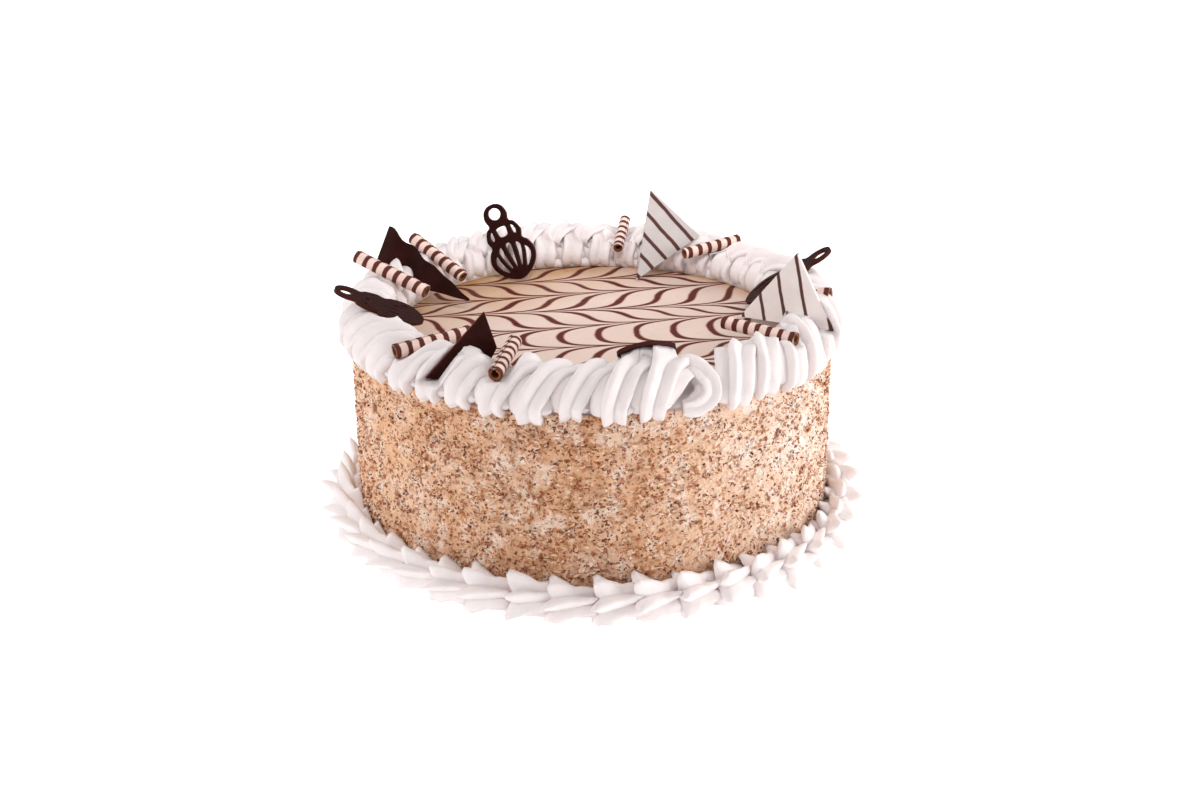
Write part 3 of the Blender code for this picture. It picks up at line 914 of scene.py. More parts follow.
def piped_lines(tree, x_place, y_place, blotches, line_width):
    """Where the icing has its feathered lines and the tinge beside them, each from 0 to 1."""
    shift, steep = feather_shift(tree, x_place, y_place)
    straight = calculate(tree, "MULTIPLY_ADD", y_place, LINE_TILT, x_place)
    pulled = calculate(tree, "SUBTRACT", calculate(tree, "SUBTRACT", straight, shift), LINE_OFFSET)
    turns = calculate(tree, "DIVIDE", pulled, LINE_PITCH)
    apart = calculate(tree, "MULTIPLY", calculate(tree, "PINGPONG", turns, 0.5), LINE_PITCH)
    varying, steady = line_width * LINE_HALF_VARYING, line_width * LINE_HALF_STEADY
    half = calculate(tree, "MULTIPLY_ADD", blotches, varying, steady)
    widening = calculate(tree, "MULTIPLY_ADD", steep, LINE_SPREAD, 1.0)
    inside = calculate(tree, "MULTIPLY_ADD", half, widening, calculate(tree, "MULTIPLY", apart, -1.0))
    soft = calculate(tree, "MULTIPLY", widening, LINE_EDGE)
    line = calculate(tree, "MULTIPLY_ADD", calculate(tree, "DIVIDE", inside, soft), 0.5, 0.5, clamp=True)
    halo = calculate(tree, "DIVIDE", inside, calculate(tree, "MULTIPLY", widening, LINE_HALO))
    return line, calculate(tree, "ADD", halo, 1.0, clamp=True)


def icing_painted_shade_share(tree, place, parts, blotches):
    """How much golden painted shade the icing gets: in the corner by the rope at its rim, and more towards
    the far left.
    """
    radius = add_node(tree, "ShaderNodeVectorMath", {0: place}, operation="LENGTH")
    flat = calculate(tree, "POWER", radius.outputs["Value"], 2.0)
    level = calculate(tree, "POWER", parts.outputs[2], 2.0)
    reach = calculate(tree, "SQRT", calculate(tree, "SUBTRACT", flat, level))
    rim = scaled(tree, reach, *ICING_PAINTED_SHADE_RIM)
    back_share = calculate(tree, "MULTIPLY", parts.outputs[1], ICING_PAINTED_SHADE_BACK)
    far_left = calculate(tree, "MULTIPLY_ADD", parts.outputs[0], ICING_PAINTED_SHADE_LEFT, back_share)
    icing_shade = calculate(tree, "MAXIMUM", rim, scaled(tree, far_left, *ICING_PAINTED_SHADE_FAR))
    uneven = calculate(tree, "MULTIPLY_ADD", blotches, ICING_PAINTED_SHADE_UNEVEN, ICING_PAINTED_SHADE_STEADY)
    return calculate(tree, "MULTIPLY", icing_shade, uneven)


def icing_material(colours, line_width):
    """Poured icing: ivory, with chocolate lines feathered by strokes to the right and to the left."""
    material, tree, shader, place = new_material("feathered_icing", ICING_FINISH)
    blotches, grain = add_mottle(tree, place, ICING_FINISH.fineness)
    parts = add_node(tree, "ShaderNodeSeparateXYZ", {"Vector": place})
    x_place = calculate(tree, "MULTIPLY_ADD", blotches, LINE_SWAY, parts.outputs[0])
    line, halo = piped_lines(tree, x_place, parts.outputs[1], blotches, line_width)
    icing_shade = icing_painted_shade_share(tree, place, parts, blotches)
    tint = blend_colours(tree, blotches, colours.icing, lighter(colours.icing, ICING_FINISH.lightening))
    # Painted shade: golden darkening by the rope and towards the far left and back
    tint = blend_colours(tree, icing_shade, tint, SHADES["icing_painted_shade"])
    tint = blend_colours(tree, calculate(tree, "MULTIPLY", halo, HALO_SHARE), tint, SHADES["icing_halo"])
    tint = blend_colours(tree, line, tint, colours.icing_line)
    connect(tree, shader, ICING_FINISH, tint, grain, line)
    return material


def dark_chocolate_material(name, colour, painted_highlight_share):
    """Dark chocolate: satin, with a faint bloom and a painted highlight, lighter and warmer, on the rims of
    flat pieces that lie in X and Y.
    """
    material, tree, shader, place = new_material(name, DARK_FINISH)
    blotches, grain = add_mottle(tree, place, DARK_FINISH.fineness)
    facing = add_node(tree, "ShaderNodeTexCoord").outputs["Normal"]
    upright = add_node(tree, "ShaderNodeSeparateXYZ", {"Vector": facing}).outputs[2]
    # Painted highlight on the rims, where the surface turns away from the plate's face
    edge = scaled(tree, calculate(tree, "ABSOLUTE", upright), *PAINTED_HIGHLIGHT_FACING, 0.0, painted_highlight_share)
    bloom = calculate(tree, "MULTIPLY", blotches, BLOOM_SHARE)
    tint = blend_colours(tree, bloom, colour, lighter(colour, DARK_FINISH.lightening))
    tint = blend_colours(tree, edge, tint, SHADES["chocolate_painted_highlight"])
    connect(tree, shader, DARK_FINISH, tint, grain, grain)
    return material


def striped_chocolate_material(name, colours, first, pitch, slant, bow, tone):
    """White chocolate with slanting dark stripes that run through its thickness, and painted shading on its
    white.
    """
    material, tree, shader, place = new_material(name, WHITE_FINISH)
    blotches, grain = add_mottle(tree, place, WHITE_FINISH.fineness)
    parts = add_node(tree, "ShaderNodeSeparateXYZ", {"Vector": place})
    angle = math.radians(slant)
    down = calculate(tree, "MULTIPLY", parts.outputs[0], math.sin(angle))
    across = calculate(tree, "MULTIPLY_ADD", parts.outputs[1], -math.cos(angle), down)
    along = calculate(tree, "MULTIPLY", parts.outputs[1], math.sin(angle))
    bowed = calculate(tree, "MULTIPLY_ADD", calculate(tree, "POWER", along, 2.0), bow, across)
    wavy = calculate(tree, "MULTIPLY_ADD", blotches, STRIPE_WAVE, bowed)
    turns = calculate(tree, "DIVIDE", calculate(tree, "SUBTRACT", wavy, first), pitch)
    apart = calculate(tree, "MULTIPLY", calculate(tree, "PINGPONG", turns, 0.5), pitch)
    half = STRIPE_WIDTH * 0.5
    stripe = scaled(tree, apart, half + STRIPE_EDGE, half - STRIPE_EDGE)
    # tone is painted shading: the white is painted darker on the back plate and a little lighter on the
    # right one
    white = lighter(colours.white_chocolate, tone)
    tint = blend_colours(tree, blotches, white, lighter(white, WHITE_FINISH.lightening))
    tint = blend_colours(tree, stripe, tint, lighter(colours.icing_line, STRIPE_DARKENING))
    connect(tree, shader, WHITE_FINISH, tint, grain, grain)
    return material


def wafer_material(colours):
    """Striped wafer roll: dark bands on light wafer outside, and painted shade inside, dark on the hidden
    turns and brown deepest in.
    """
    material, tree, shader, place = new_material("striped_wafer", WAFER_FINISH)
    blotches, grain = add_mottle(tree, place, WAFER_FINISH.fineness)
    parts = add_node(tree, "ShaderNodeSeparateXYZ", {"Vector": place})
    around = calculate(tree, "ARCTAN2", parts.outputs[2], parts.outputs[1])
    slanted = calculate(tree, "MULTIPLY_ADD", around, ROLL_STRIPE_SLANT, parts.outputs[0])
    uneven = calculate(tree, "MULTIPLY_ADD", blotches, ROLL_STRIPE_WAVE, slanted)
    half = ROLL_STRIPE_SHARE * 0.5
    turns = calculate(tree, "MULTIPLY_ADD", uneven, 1.0 / ROLL_STRIPE_PITCH, -half)
    apart = calculate(tree, "PINGPONG", turns, 0.5)
    band = scaled(tree, apart, half + ROLL_STRIPE_EDGE, half - ROLL_STRIPE_EDGE)
    light, dark = tuple(colours.wafer_light), tuple(colours.wafer_dark)
    tint = blend_colours(tree, blotches, light, lighter(light, WAFER_FINISH.lightening))
    tint = blend_colours(tree, band, tint, dark)
    # Painted shade: the inside mark paints the hidden turns dark and the deepest ones brown
    inner = add_node(tree, "ShaderNodeAttribute", attribute_name="inside").outputs["Fac"]
    tint = blend_colours(tree, scaled(tree, inner, *ROLL_PAINTED_SHADE_DARK), tint, dark)
    tint = blend_colours(tree, scaled(tree, inner, *ROLL_PAINTED_SHADE_BROWN), tint, SHADES["wafer_painted_shade"])
    connect(tree, shader, WAFER_FINISH, tint, height=grain)
    return material


def floor_material():
    """Plain pale floor with a faint unevenness."""
    material, tree, shader, place = new_material("pale_floor", FLOOR_FINISH)
    blotches, _ = add_mottle(tree, place, FLOOR_FINISH.fineness)
    pale = SHADES["floor"]
    tint = blend_colours(tree, blotches, pale, lighter(pale, FLOOR_FINISH.lightening))
    connect(tree, shader, FLOOR_FINISH, tint)
    reach = add_node(tree, "ShaderNodeVectorMath", {0: place}, operation="LENGTH").outputs["Value"]
    glow = scaled(tree, reach, *FLOOR_GLOW_REACH, *FLOOR_GLOW)
    tree.links.new(glow, shader.inputs["Emission Strength"])
    return material


def coat_points():
    """Points of the coat's side, row by row from the bottom, with the relief of ground nuts."""
    levels = np.linspace(0.0, CAKE_TOP, COAT_ROWS)[:, None]
    angles = np.linspace(0.0, 2.0 * math.pi, COAT_COLUMNS, endpoint=False)[None, :]
    radius = CAKE_RADIUS - COAT_INSET
    points = polar(radius, angles, levels)
    height = relief(points, *COAT_LUMP) + relief(points, *COAT_CRUMB)
    away = points * np.array([1.0, 1.0, 0.0]) / radius
    side = points + away * height[..., None]
    lip = np.array(COAT_LIP)
    lip_points = polar(ICING_RADIUS + lip[:, :1], angles, ICING_LEVEL + lip[:, 1:])
    lip_height = relief(lip_points, *LIP_CRUMB) * (lip[:, 1:] > LIP_ROUGH_FROM)
    lip_points[..., 2] += np.abs(lip_height)
    return np.vstack([side, lip_points])


def coat_mesh():
    """Closed drum whose side is the nut coat, with a lip that covers the icing's edge."""
    points = coat_points()
    faces = tube_faces(*points.shape[:2])
    mesh = mesh_from("nut_coat", points.reshape(-1, 3), faces)
    outward(mesh)
    return mesh


def turn_matrices(count, chance):
    """Random turns, as rotation matrices."""
    axes = chance.normal(size=(count, 3))
    axes /= np.linalg.norm(axes, axis=1, keepdims=True)
    angles = chance.uniform(0.0, math.pi, count)
    return np.array([Matrix.Rotation(a, 3, Vector(v)) for a, v in zip(angles, axes)])


def clustered_places(count, evenness, chance):
    """Angles and heights on the side, gathered in uneven clusters and more of them at the front."""
    angles = chance.uniform(0.0, 2.0 * math.pi, count * 2)
    levels = chance.uniform(COAT_LOWEST, COAT_HIGHEST, count * 2)
    shift = float(chance.uniform(0.0, CLUSTER_SHIFT))
    lumps = smooth_noise(polar(CAKE_RADIUS, angles, levels), CRUMB_CLUSTER, shift)
    middle, spread, share = CRUMB_FRONT
    lumps += share * np.exp(-((angles - middle) / spread) ** 2)
    order = np.argsort(-lumps + chance.normal(0.0, evenness, count * 2))[:count]
    return angles[order], levels[order]


def crumb_mesh(name, count, smallest, largest, flatness, evenness, depth, chance):
    """Nut crumbs pressed into the side: uneven little blocks, each with its own tone."""
    block = np.array([(x, y, z) for x in (-1, 1) for y in (-1, 1) for z in (-1, 1)], float) * CRUMB_HALF
    quads = np.array([(0, 1, 3, 2), (4, 6, 7, 5), (0, 4, 5, 1), (2, 3, 7, 6), (0, 2, 6, 4), (1, 5, 7, 3)])
    sizes = smallest + (largest - smallest) * chance.power(CRUMB_SIZE_POWER, count)[::-1] ** 2
    least, most = np.array(CRUMB_STRETCH) * (1.0, 1.0, flatness)
    stretch = chance.uniform(least, most, (count, 3))
    jitter = chance.uniform(*CRUMB_JITTER, (count, 8, 3))
    corners = block[None] * jitter * (sizes[:, None] * stretch)[:, None, :]
    turned = np.einsum("nij,nkj->nki", turn_matrices(count, chance), corners)
    angles, levels = clustered_places(count, evenness, chance)
    middles = polar(CAKE_RADIUS - depth + sizes * CRUMB_RISE, angles, levels)
    points = (turned + middles[:, None, :]).reshape(-1, 3)
    faces = (quads[None] + (np.arange(count) * 8)[:, None, None]).reshape(-1, 4).tolist()
    mesh = mesh_from(name, points, faces)
    mesh.shade_flat()
    tones = mesh.attributes.new("tone", "FLOAT", "POINT")
    tones.data.foreach_set("value", np.repeat(chance.uniform(0.0, 1.0, count), 8).astype(np.float32))
    return mesh


def rope_centres(coils, chance):
    """Middle line of the rope's strand, its directions away from the rope's core, and its thickness."""
    first, last = ROPE_ENDS
    progress = np.arange(round((coils + last - first) * ROPE_STEPS) + 1) / ROPE_STEPS + first
    knots = np.arange(-1, coils + 2)
    swing = 1.0 + np.interp(progress, knots, chance.uniform(*COIL_SWING, len(knots)))
    rise = np.interp(progress, knots, chance.uniform(*COIL_RISE, len(knots)))
    sway = np.interp(progress, knots, chance.uniform(*COIL_SWAY, len(knots)))
    table = np.array(ROPE_COIL)
    table[:, 0] -= np.arange(len(table)) / len(table)
    places = np.arange(ROPE_STEPS) / ROPE_STEPS * len(table)
    table = np.vstack([table, table[:1]])
    coil = np.stack([np.interp(places, np.arange(len(table)), column) for column in table.T])
    width = ROPE_STEPS // len(ROPE_COIL)
    blur = np.ones(width) / width
    coil = np.array([np.convolve(np.pad(row, width, "wrap"), blur, "same")[width:-width] for row in coil])
    step = np.round(progress * ROPE_STEPS).astype(int) % ROPE_STEPS
    share, radius, level, thickness = coil[:, step]
    angles = ROPE_START + ROPE_TURN / (coils + last) * (progress + share + sway)
    core_radius, core_rise = ROPE_CORE
    out_part = (radius - core_radius) * swing
    up_part = (level - core_rise) * swing + rise
    centres = polar(core_radius + out_part, angles, ICING_LEVEL + core_rise + up_part)
    return centres, polar(out_part, angles, up_part), thickness


def strand_points(centres, away, thickness, lobes, groove, widening=1.0):
    """Sections of star-piped cream along a middle line."""
    ahead = np.gradient(centres, axis=0)
    ahead /= np.linalg.norm(ahead, axis=1, keepdims=True)
    out = away - ahead * np.sum(away * ahead, axis=1, keepdims=True)
    out /= np.linalg.norm(out, axis=1, keepdims=True)
    side = np.cross(ahead, out)
    section = np.linspace(0.0, 2.0 * math.pi, ROPE_POINTS, endpoint=False)
    ridges = ridge_share(section + ROPE_PHASE, lobes) ** ROPE_RIDGE_SHARPNESS
    ridges = 1.0 - groove * (1.0 - ridges)
    radius = thickness[:, None] * ridges[None, :]
    points = centres[:, None, :] + out[:, None, :] * (radius * np.cos(section))[..., None]
    return points + side[:, None, :] * (widening * radius * np.sin(section))[..., None]


def rest_on_cake(points):
    """Keep cream over the icing inside the rim, and outside the wall below it."""
    reach = np.linalg.norm(points[..., :2], axis=-1)
    over = reach < CAKE_RADIUS + ROPE_WALL_CLEARANCE
    floor = ICING_LEVEL + GAP
    points[..., 2] = np.where(over, np.maximum(points[..., 2], floor), points[..., 2])
    return points


def press_under(points, placing, outline, half, fade, depth):
    """Push cream that covers an ornament's outline to its far side; the ornament's Z points at the view."""
    back = np.array(placing.inverted())
    local = points @ back[:3, :3].T + back[:3, 3]
    corners = np.array(outline)
    middle = corners.mean(axis=0)
    beyond = np.full(local.shape[:-1], -1.0)
    for start, end in zip(corners, np.roll(corners, -1, axis=0)):
        normal = np.array([end[1] - start[1], start[0] - end[0]])
        normal /= np.linalg.norm(normal)
        if (start - middle) @ normal < 0.0:
            normal = -normal
        beyond = np.maximum(beyond, (local[..., :2] - start) @ normal)
    share = smooth_step(1.0 - beyond / fade)
    height = local[..., 2]
    target = -half - PRESS_GAP
    share = share * smooth_step((depth + fade - height) / fade)
    shift = np.where(height > target, (target - height) * share, 0.0)
    toward = np.array(placing)[:3, 2]
    return points + toward * shift[..., None]


def roll_bed(node, share):
    """Placing and outline of the outer share of a roll as it lies, with Z upward."""
    placing, length, radius = roll_placing(node)
    start = placing.translation
    along = placing.to_3x3() @ Vector((1.0, 0.0, 0.0))
    flat = placing_from(start, along, Vector((0.0, 0.0, 1.0)).cross(along))
    half_width, half_depth, past = ROLL_BED
    wide = radius * half_width
    end = length * share + past
    outline = [(-past, -wide), (end, -wide), (end, wide), (-past, wide)]
    return flat, outline, radius * half_depth


def facing_view(placing):
    """The same placing with its Z turned towards the side that the camera sees, and the way to there."""
    camera = Vector((0.0, -math.cos(CAMERA_PITCH), math.sin(CAMERA_PITCH))) * CAMERA_DISTANCE
    sight = (camera + Vector((0.0, 0.0, CAMERA_HEIGHT)) - placing.translation).normalized()
    if sight.dot(placing.to_3x3() @ Vector((0.0, 0.0, 1.0))) < 0.0:
        placing = placing @ Matrix.Rotation(math.pi, 4, "X")
    return placing, sight


def make_room(points):
    """Dent the cream where ornaments lie on it."""
    for node, share in LYING_ROLLS.items():
        points = press_under(points, *roll_bed(node, share), *ROLL_PRESS)
    for node in LEAF_NODES:
        placing, length = leaf_placing(node)
        turned, _ = facing_view(placing)
        wide = LEAF_LENGTH * LEAF_BED_WIDTH
        outline = [(length * along, wide * across) for along, across in LEAF_BED]
        points = press_under(points, turned, outline, LEAF_THICKNESS * 0.5, *LEAF_PRESS)
    for node, (low, other, share) in PLATE_STRIPS.items():
        corners, placing, _ = plate_frame(node)
        turned, sight = facing_view(placing)
        back = turned.inverted()
        inner = corners[low].lerp(corners[other], share)
        outline = [tuple((back @ corner)[:2]) for corner in (corners[0], corners[low], inner)]
        for axis in range(3):
            turned[axis][2] = sight[axis]
        points = press_under(points, turned, outline, PLATE_THICKNESS, *PLATE_PRESS)
    return points


def main_strand(coils, tube, chance):
    """The ridged strand that winds along the rim, torn off at its end."""
    centres, away, thickness = rope_centres(coils, chance)
    steps = len(centres)
    knots = np.linspace(0.0, 1.0, coils * 2)
    coil_sizes = chance.uniform(*COIL_THICKNESS, coils * 2)
    sizes = np.interp(np.linspace(0.0, 1.0, steps), knots, coil_sizes) * thickness
    at_start, at_end = ROPE_TAPER
    from_end = np.minimum(np.arange(steps) / at_start, (steps - 1 - np.arange(steps)) / at_end)
    sizes = sizes * (ROPE_TIP + (1.0 - ROPE_TIP) * np.sqrt(np.clip(from_end, 0.0, 1.0)))
    points = strand_points(centres, away, tube * sizes, ROPE_LOBES, ROPE_GROOVE, ROPE_WIDENING)
    size, depth, shift = TORN_LUMP
    torn = smooth_noise(points[-TORN_ROWS:], size, shift) * np.linspace(0.0, depth, TORN_ROWS)[:, None]
    points[-TORN_ROWS:] += torn[..., None]
    return points


def closing_strand():
    """The short strand that closes the rope."""
    table = np.array(CLOSING_STRAND)
    places = np.linspace(0.0, len(table) - 1.0, CLOSING_STEPS)
    angle, radius, rise, thickness = (np.interp(places, np.arange(len(table)), row) for row in table.T)
    blur = np.ones(CLOSING_BLUR) / CLOSING_BLUR
    rows = [np.pad(row, CLOSING_BLUR // 2, "edge") for row in (angle, radius, rise)]
    angle, radius, rise = (np.convolve(row, blur, "valid") for row in rows)
    angle = np.radians(angle)
    middle = polar(radius, angle, ICING_LEVEL + rise)
    away = polar(1.0, angle, CLOSING_LEAN)
    return strand_points(middle, away, thickness, ROPE_LOBES - 1, ROPE_GROOVE)


def rope_bed():
    """The bed of cream under the rope."""
    bed_angles = np.linspace(0.0, 2.0 * math.pi, BED_COLUMNS, endpoint=False)
    bed = np.array(ROPE_BED)
    points = polar(bed[None, :, 0], bed_angles[:, None], ICING_LEVEL + bed[None, :, 1])
    points[..., 2] += relief(points, *BED_LUMP) * (bed[None, :, 1] > BED_LUMPY_FROM)
    return points


def rope_mesh(coils, tube, chance):
    """Rope of cream: a ridged strand wound along the rim, one that closes it, and the bed under it."""
    parts = []
    faces = []
    count = 0
    for part in (main_strand(coils, tube, chance), closing_strand()):
        part = part + relief(part, *CREAM_LUMP)[..., None]
        part = rest_on_cake(make_room(part))
        parts.append(part.reshape(-1, 3))
        faces.extend(tube_faces(*part.shape[:2], count))
        count += parts[-1].shape[0]
    bed = make_room(rope_bed())
    parts.append(bed.reshape(-1, 3))
    faces.extend(lattice_faces(*bed.shape[:2], True, True, count))
    mesh = mesh_from("rim_rope", np.vstack(parts), faces)
    outward(mesh)
    return mesh


def shell_mesh(count, chance):
    """Shells of cream round the foot: a pointed star at one end, drawn out into a tail."""
    pitch = 2.0 * math.pi / count
    wall = CAKE_RADIUS + ROPE_WALL_CLEARANCE
    part = np.linspace(0.0, 1.0, SHELL_STEPS)
    section = np.linspace(0.0, 2.0 * math.pi, SHELL_POINTS, endpoint=False)
    all_points = []
    faces = []
    for shell in range(count):
        size = chance.uniform(*SHELL_SIZES)
        twist = chance.uniform(*SHELL_TURNS)
        start = pitch * (shell + SHELL_PHASE + chance.uniform(*SHELL_SHIFTS))
        girth = np.interp(part, *np.array(SHELL_GIRTH).T) * size
        tips = ridge_share(section, SHELL_LOBES)
        uneven = 1.0 + chance.uniform(*SHELL_TIP_LENGTHS, SHELL_LOBES)
        lobe = (section * SHELL_LOBES / (2.0 * math.pi)).round().astype(int) % SHELL_LOBES
        ridges = 1.0 - SHELL_GROOVE * (1.0 - tips)
        star = tips ** SHELL_TIP_SHARPNESS * uneven[lobe]
        rim = np.interp(part, *np.array(SHELL_TIPS).T)[:, None] * star[None, :]
        radius = SHELL_TUBE * girth[:, None] * (ridges[None, :] + SHELL_FLARE * np.abs(rim))
        angles = start + pitch * SHELL_LENGTH * part[:, None] + SHELL_LEAN * rim / wall
        centre_out = wall + SHELL_CENTRE_OUT * (1.0 - SHELL_DRAW_IN * part)[:, None]
        centre_up = SHELL_CENTRE_RISE * (1.0 - SHELL_SINK * part)[:, None]
        turned = section[None, :] + twist + SHELL_TWIST * (part[:, None] - 0.5)
        room = (centre_up - SHELL_REST) / np.maximum(-np.sin(turned), 0.001)
        radius = np.minimum(radius, room)
        reach = np.maximum(centre_out + radius * np.cos(turned), wall)
        level = centre_up + radius * np.sin(turned)
        points = polar(reach, angles, level)
        faces.extend(tube_faces(SHELL_STEPS, SHELL_POINTS, shell * SHELL_STEPS * SHELL_POINTS))
        all_points.append(points.reshape(-1, 3))
    mesh = mesh_from("foot_shells", np.vstack(all_points), faces)
    outward(mesh)
    return mesh


def roll_mesh(name, length, radius):
    """Rolled wafer: a thin sheet wound up, open in the middle."""
    turns = np.linspace(0.0, ROLL_WINDS * 2.0 * math.pi, ROLL_STEPS)
    outer = ROLL_BORE + ROLL_SHEET + (radius - ROLL_BORE - ROLL_SHEET) * turns / turns[-1]
    inner = outer - ROLL_SHEET
    outline = [(r * math.cos(a), r * math.sin(a)) for r, a in zip(outer, turns)]
    back = [(r * math.cos(a), r * math.sin(a)) for r, a in zip(inner[::-1], turns[::-1])]
    section = np.array(outline + back)
    places = np.linspace(0.0, length, ROLL_ROWS)
    share, waves, shift = ROLL_SWELL
    swell = 1.0 + share * np.sin(places / length * waves + radius * shift)
    points = np.empty((ROLL_ROWS, len(section), 3))
    points[..., 0] = places[:, None]
    points[..., 1:] = section[None] * swell[:, None, None]
    faces = lattice_faces(ROLL_ROWS, len(section), False, True)
    count = len(outline)
    last = (ROLL_ROWS - 1) * len(section)
    for step in range(count - 1):
        far = len(section) - 1 - step
        faces.append((step, step + 1, far - 1, far))
        faces.append((last + far, last + far - 1, last + step + 1, last + step))
    mesh = mesh_from(name, points.reshape(-1, 3), faces)
    outward(mesh)
    mesh.set_sharp_from_angle(angle=ROLL_SHARP_EDGE)
    # Mark for the painted shade inside the roll: 0 on the outer turn's outside, growing to 1 at the
    # innermost turn
    skin = turns[-1] - 2.0 * math.pi
    outer_fall, inner_fall = ROLL_PAINTED_SHADE_FALL
    hidden = [0.0 if a >= skin else 1.0 - outer_fall * a / skin for a in turns]
    hidden += [1.0 - inner_fall * a / turns[-1] for a in turns[::-1]]
    inside = mesh.attributes.new("inside", "FLOAT", "POINT")
    inside.data.foreach_set("value", np.tile(np.array(hidden, np.float32), ROLL_ROWS))
    return mesh


def roll_placing(node):
    """Placing and size of a roll, read from its node: X runs from the outer end to the inner one."""
    middle, axes = principal_axes(node_points(node))
    places = (node_points(node) - middle) @ axes.T
    length = np.ptp(places[:, 0])
    radius = np.linalg.norm(places[:, 1:], axis=1).max()
    along = Vector(axes[0])
    if along.dot(Vector((*middle[:2], 0.0))) > 0.0:
        along = -along
    start = Vector(middle) - along * (length * 0.5)
    return placing_from(start, along, (0.3, 0.2, 1.0)), length, radius


def plate_corners(node):
    """Corners of a flat plate in its middle plane, from the highest one down its left side."""
    points = node_points(node)
    middle, axes = principal_axes(points)
    normal = axes[2]
    depth = (points - middle) @ normal
    face = points[depth > 0.0] - np.outer(depth[depth > 0.0], normal)
    top = face[np.argmax(face[:, 2])]
    rest = sorted((p for p in face if p is not top and not np.allclose(p, top)), key=lambda p: p[0])
    return [top, *rest]


def plate_frame(node):
    """Corners of a flat plate, its placing from the highest one, and its outline in that placing."""
    corners = [Vector(corner) for corner in plate_corners(node)]
    placing = placing_from(corners[0], corners[1] - corners[0], corners[2] - corners[0])
    back = placing.inverted()
    return corners, placing, [tuple((back @ corner)[:2]) for corner in corners]


def plate_mesh(name, outline):
    """Plate of an outline in X and Y, centred on its middle plane."""
    half = PLATE_THICKNESS * 0.5
    count = len(outline)
    points = [(x, y, -half) for x, y in outline] + [(x, y, half) for x, y in outline]
    faces = [list(range(count - 1, -1, -1)), list(range(count, 2 * count))]
    for index in range(count):
        beside = (index + 1) % count
        faces.append((index, beside, count + beside, count + index))
    mesh = mesh_from(name, np.array(points), faces)
    outward(mesh)
    return mesh


def add_plate(name, node, material):
    """Add a flat plate in place of its node."""
    _, placing, outline = plate_frame(node)
    return add_piece(name, plate_mesh(name, outline), material, [node], placing)


def wave_mesh():
    """Wavy plate that narrows to a tip, with a scalloped upper edge."""
    points = node_points("dark_wave")
    top = Vector(points[np.argmax(points[:, 2])])
    tip = Vector(points[np.argmax(points[:, 0])])
    low = Vector(points[np.argmin(points[:, 0])])
    face = (top - tip).cross(low - tip).normalized()
    rows = []
    for step in range(WAVE_STEPS + 1):
        part = step / WAVE_STEPS
        wave = face * (WAVE_DEPTH * math.sin(2.0 * math.pi * WAVE_COUNT * part))
        scallop = WAVE_SCALLOP * math.sin(2.0 * math.pi * WAVE_SCALLOPS * part) * (1.0 - part)
        upper = top.lerp(tip, part * WAVE_REACH) + (top - low).normalized() * scallop
        lower = low.lerp(tip, part * WAVE_REACH)
        line = [upper.lerp(lower, row / WAVE_ROWS) + wave for row in range(WAVE_ROWS + 1)]
        half = face * (PLATE_THICKNESS * 0.5)
        rows.append([p + half for p in line] + [p - half for p in reversed(line)])
    grid = np.array(rows)
    mesh = mesh_from("dark_wave_plate", grid.reshape(-1, 3), tube_faces(*grid.shape[:2]))
    outward(mesh)
    mesh.set_sharp_from_angle(angle=SHARP_EDGE)
    return mesh


def smooth_loop(points, steps):
    """Closed smooth outline through the given points."""
    knots = np.array(points)
    before, after, beyond = (np.roll(knots, shift, axis=0) for shift in (1, -1, -2))
    loop = []
    for part in np.arange(steps) / steps:
        curve = -before + 3.0 * knots - 3.0 * after + beyond
        bend = 2.0 * before - 5.0 * knots + 4.0 * after - beyond
        loop.append(knots + 0.5 * part * ((after - before) + part * (bend + part * curve)))
    return np.stack(loop, axis=1).reshape(-1, 2)


def inside_loop(place, loop):
    """Whether a place lies inside a closed outline."""
    ends = np.roll(loop, -1, axis=0)
    spans = (loop[:, 1] > place[1]) != (ends[:, 1] > place[1])
    start, end = loop[spans], ends[spans]
    cuts = start[:, 0] + (place[1] - start[:, 1]) * (end[:, 0] - start[:, 0]) / (end[:, 1] - start[:, 1])
    return np.count_nonzero(cuts > place[0]) % 2 == 1


def shrunk(points, factor):
    """An outline drawn in towards its middle."""
    middle = np.mean(points, axis=0)
    return middle + (np.array(points) - middle) * factor


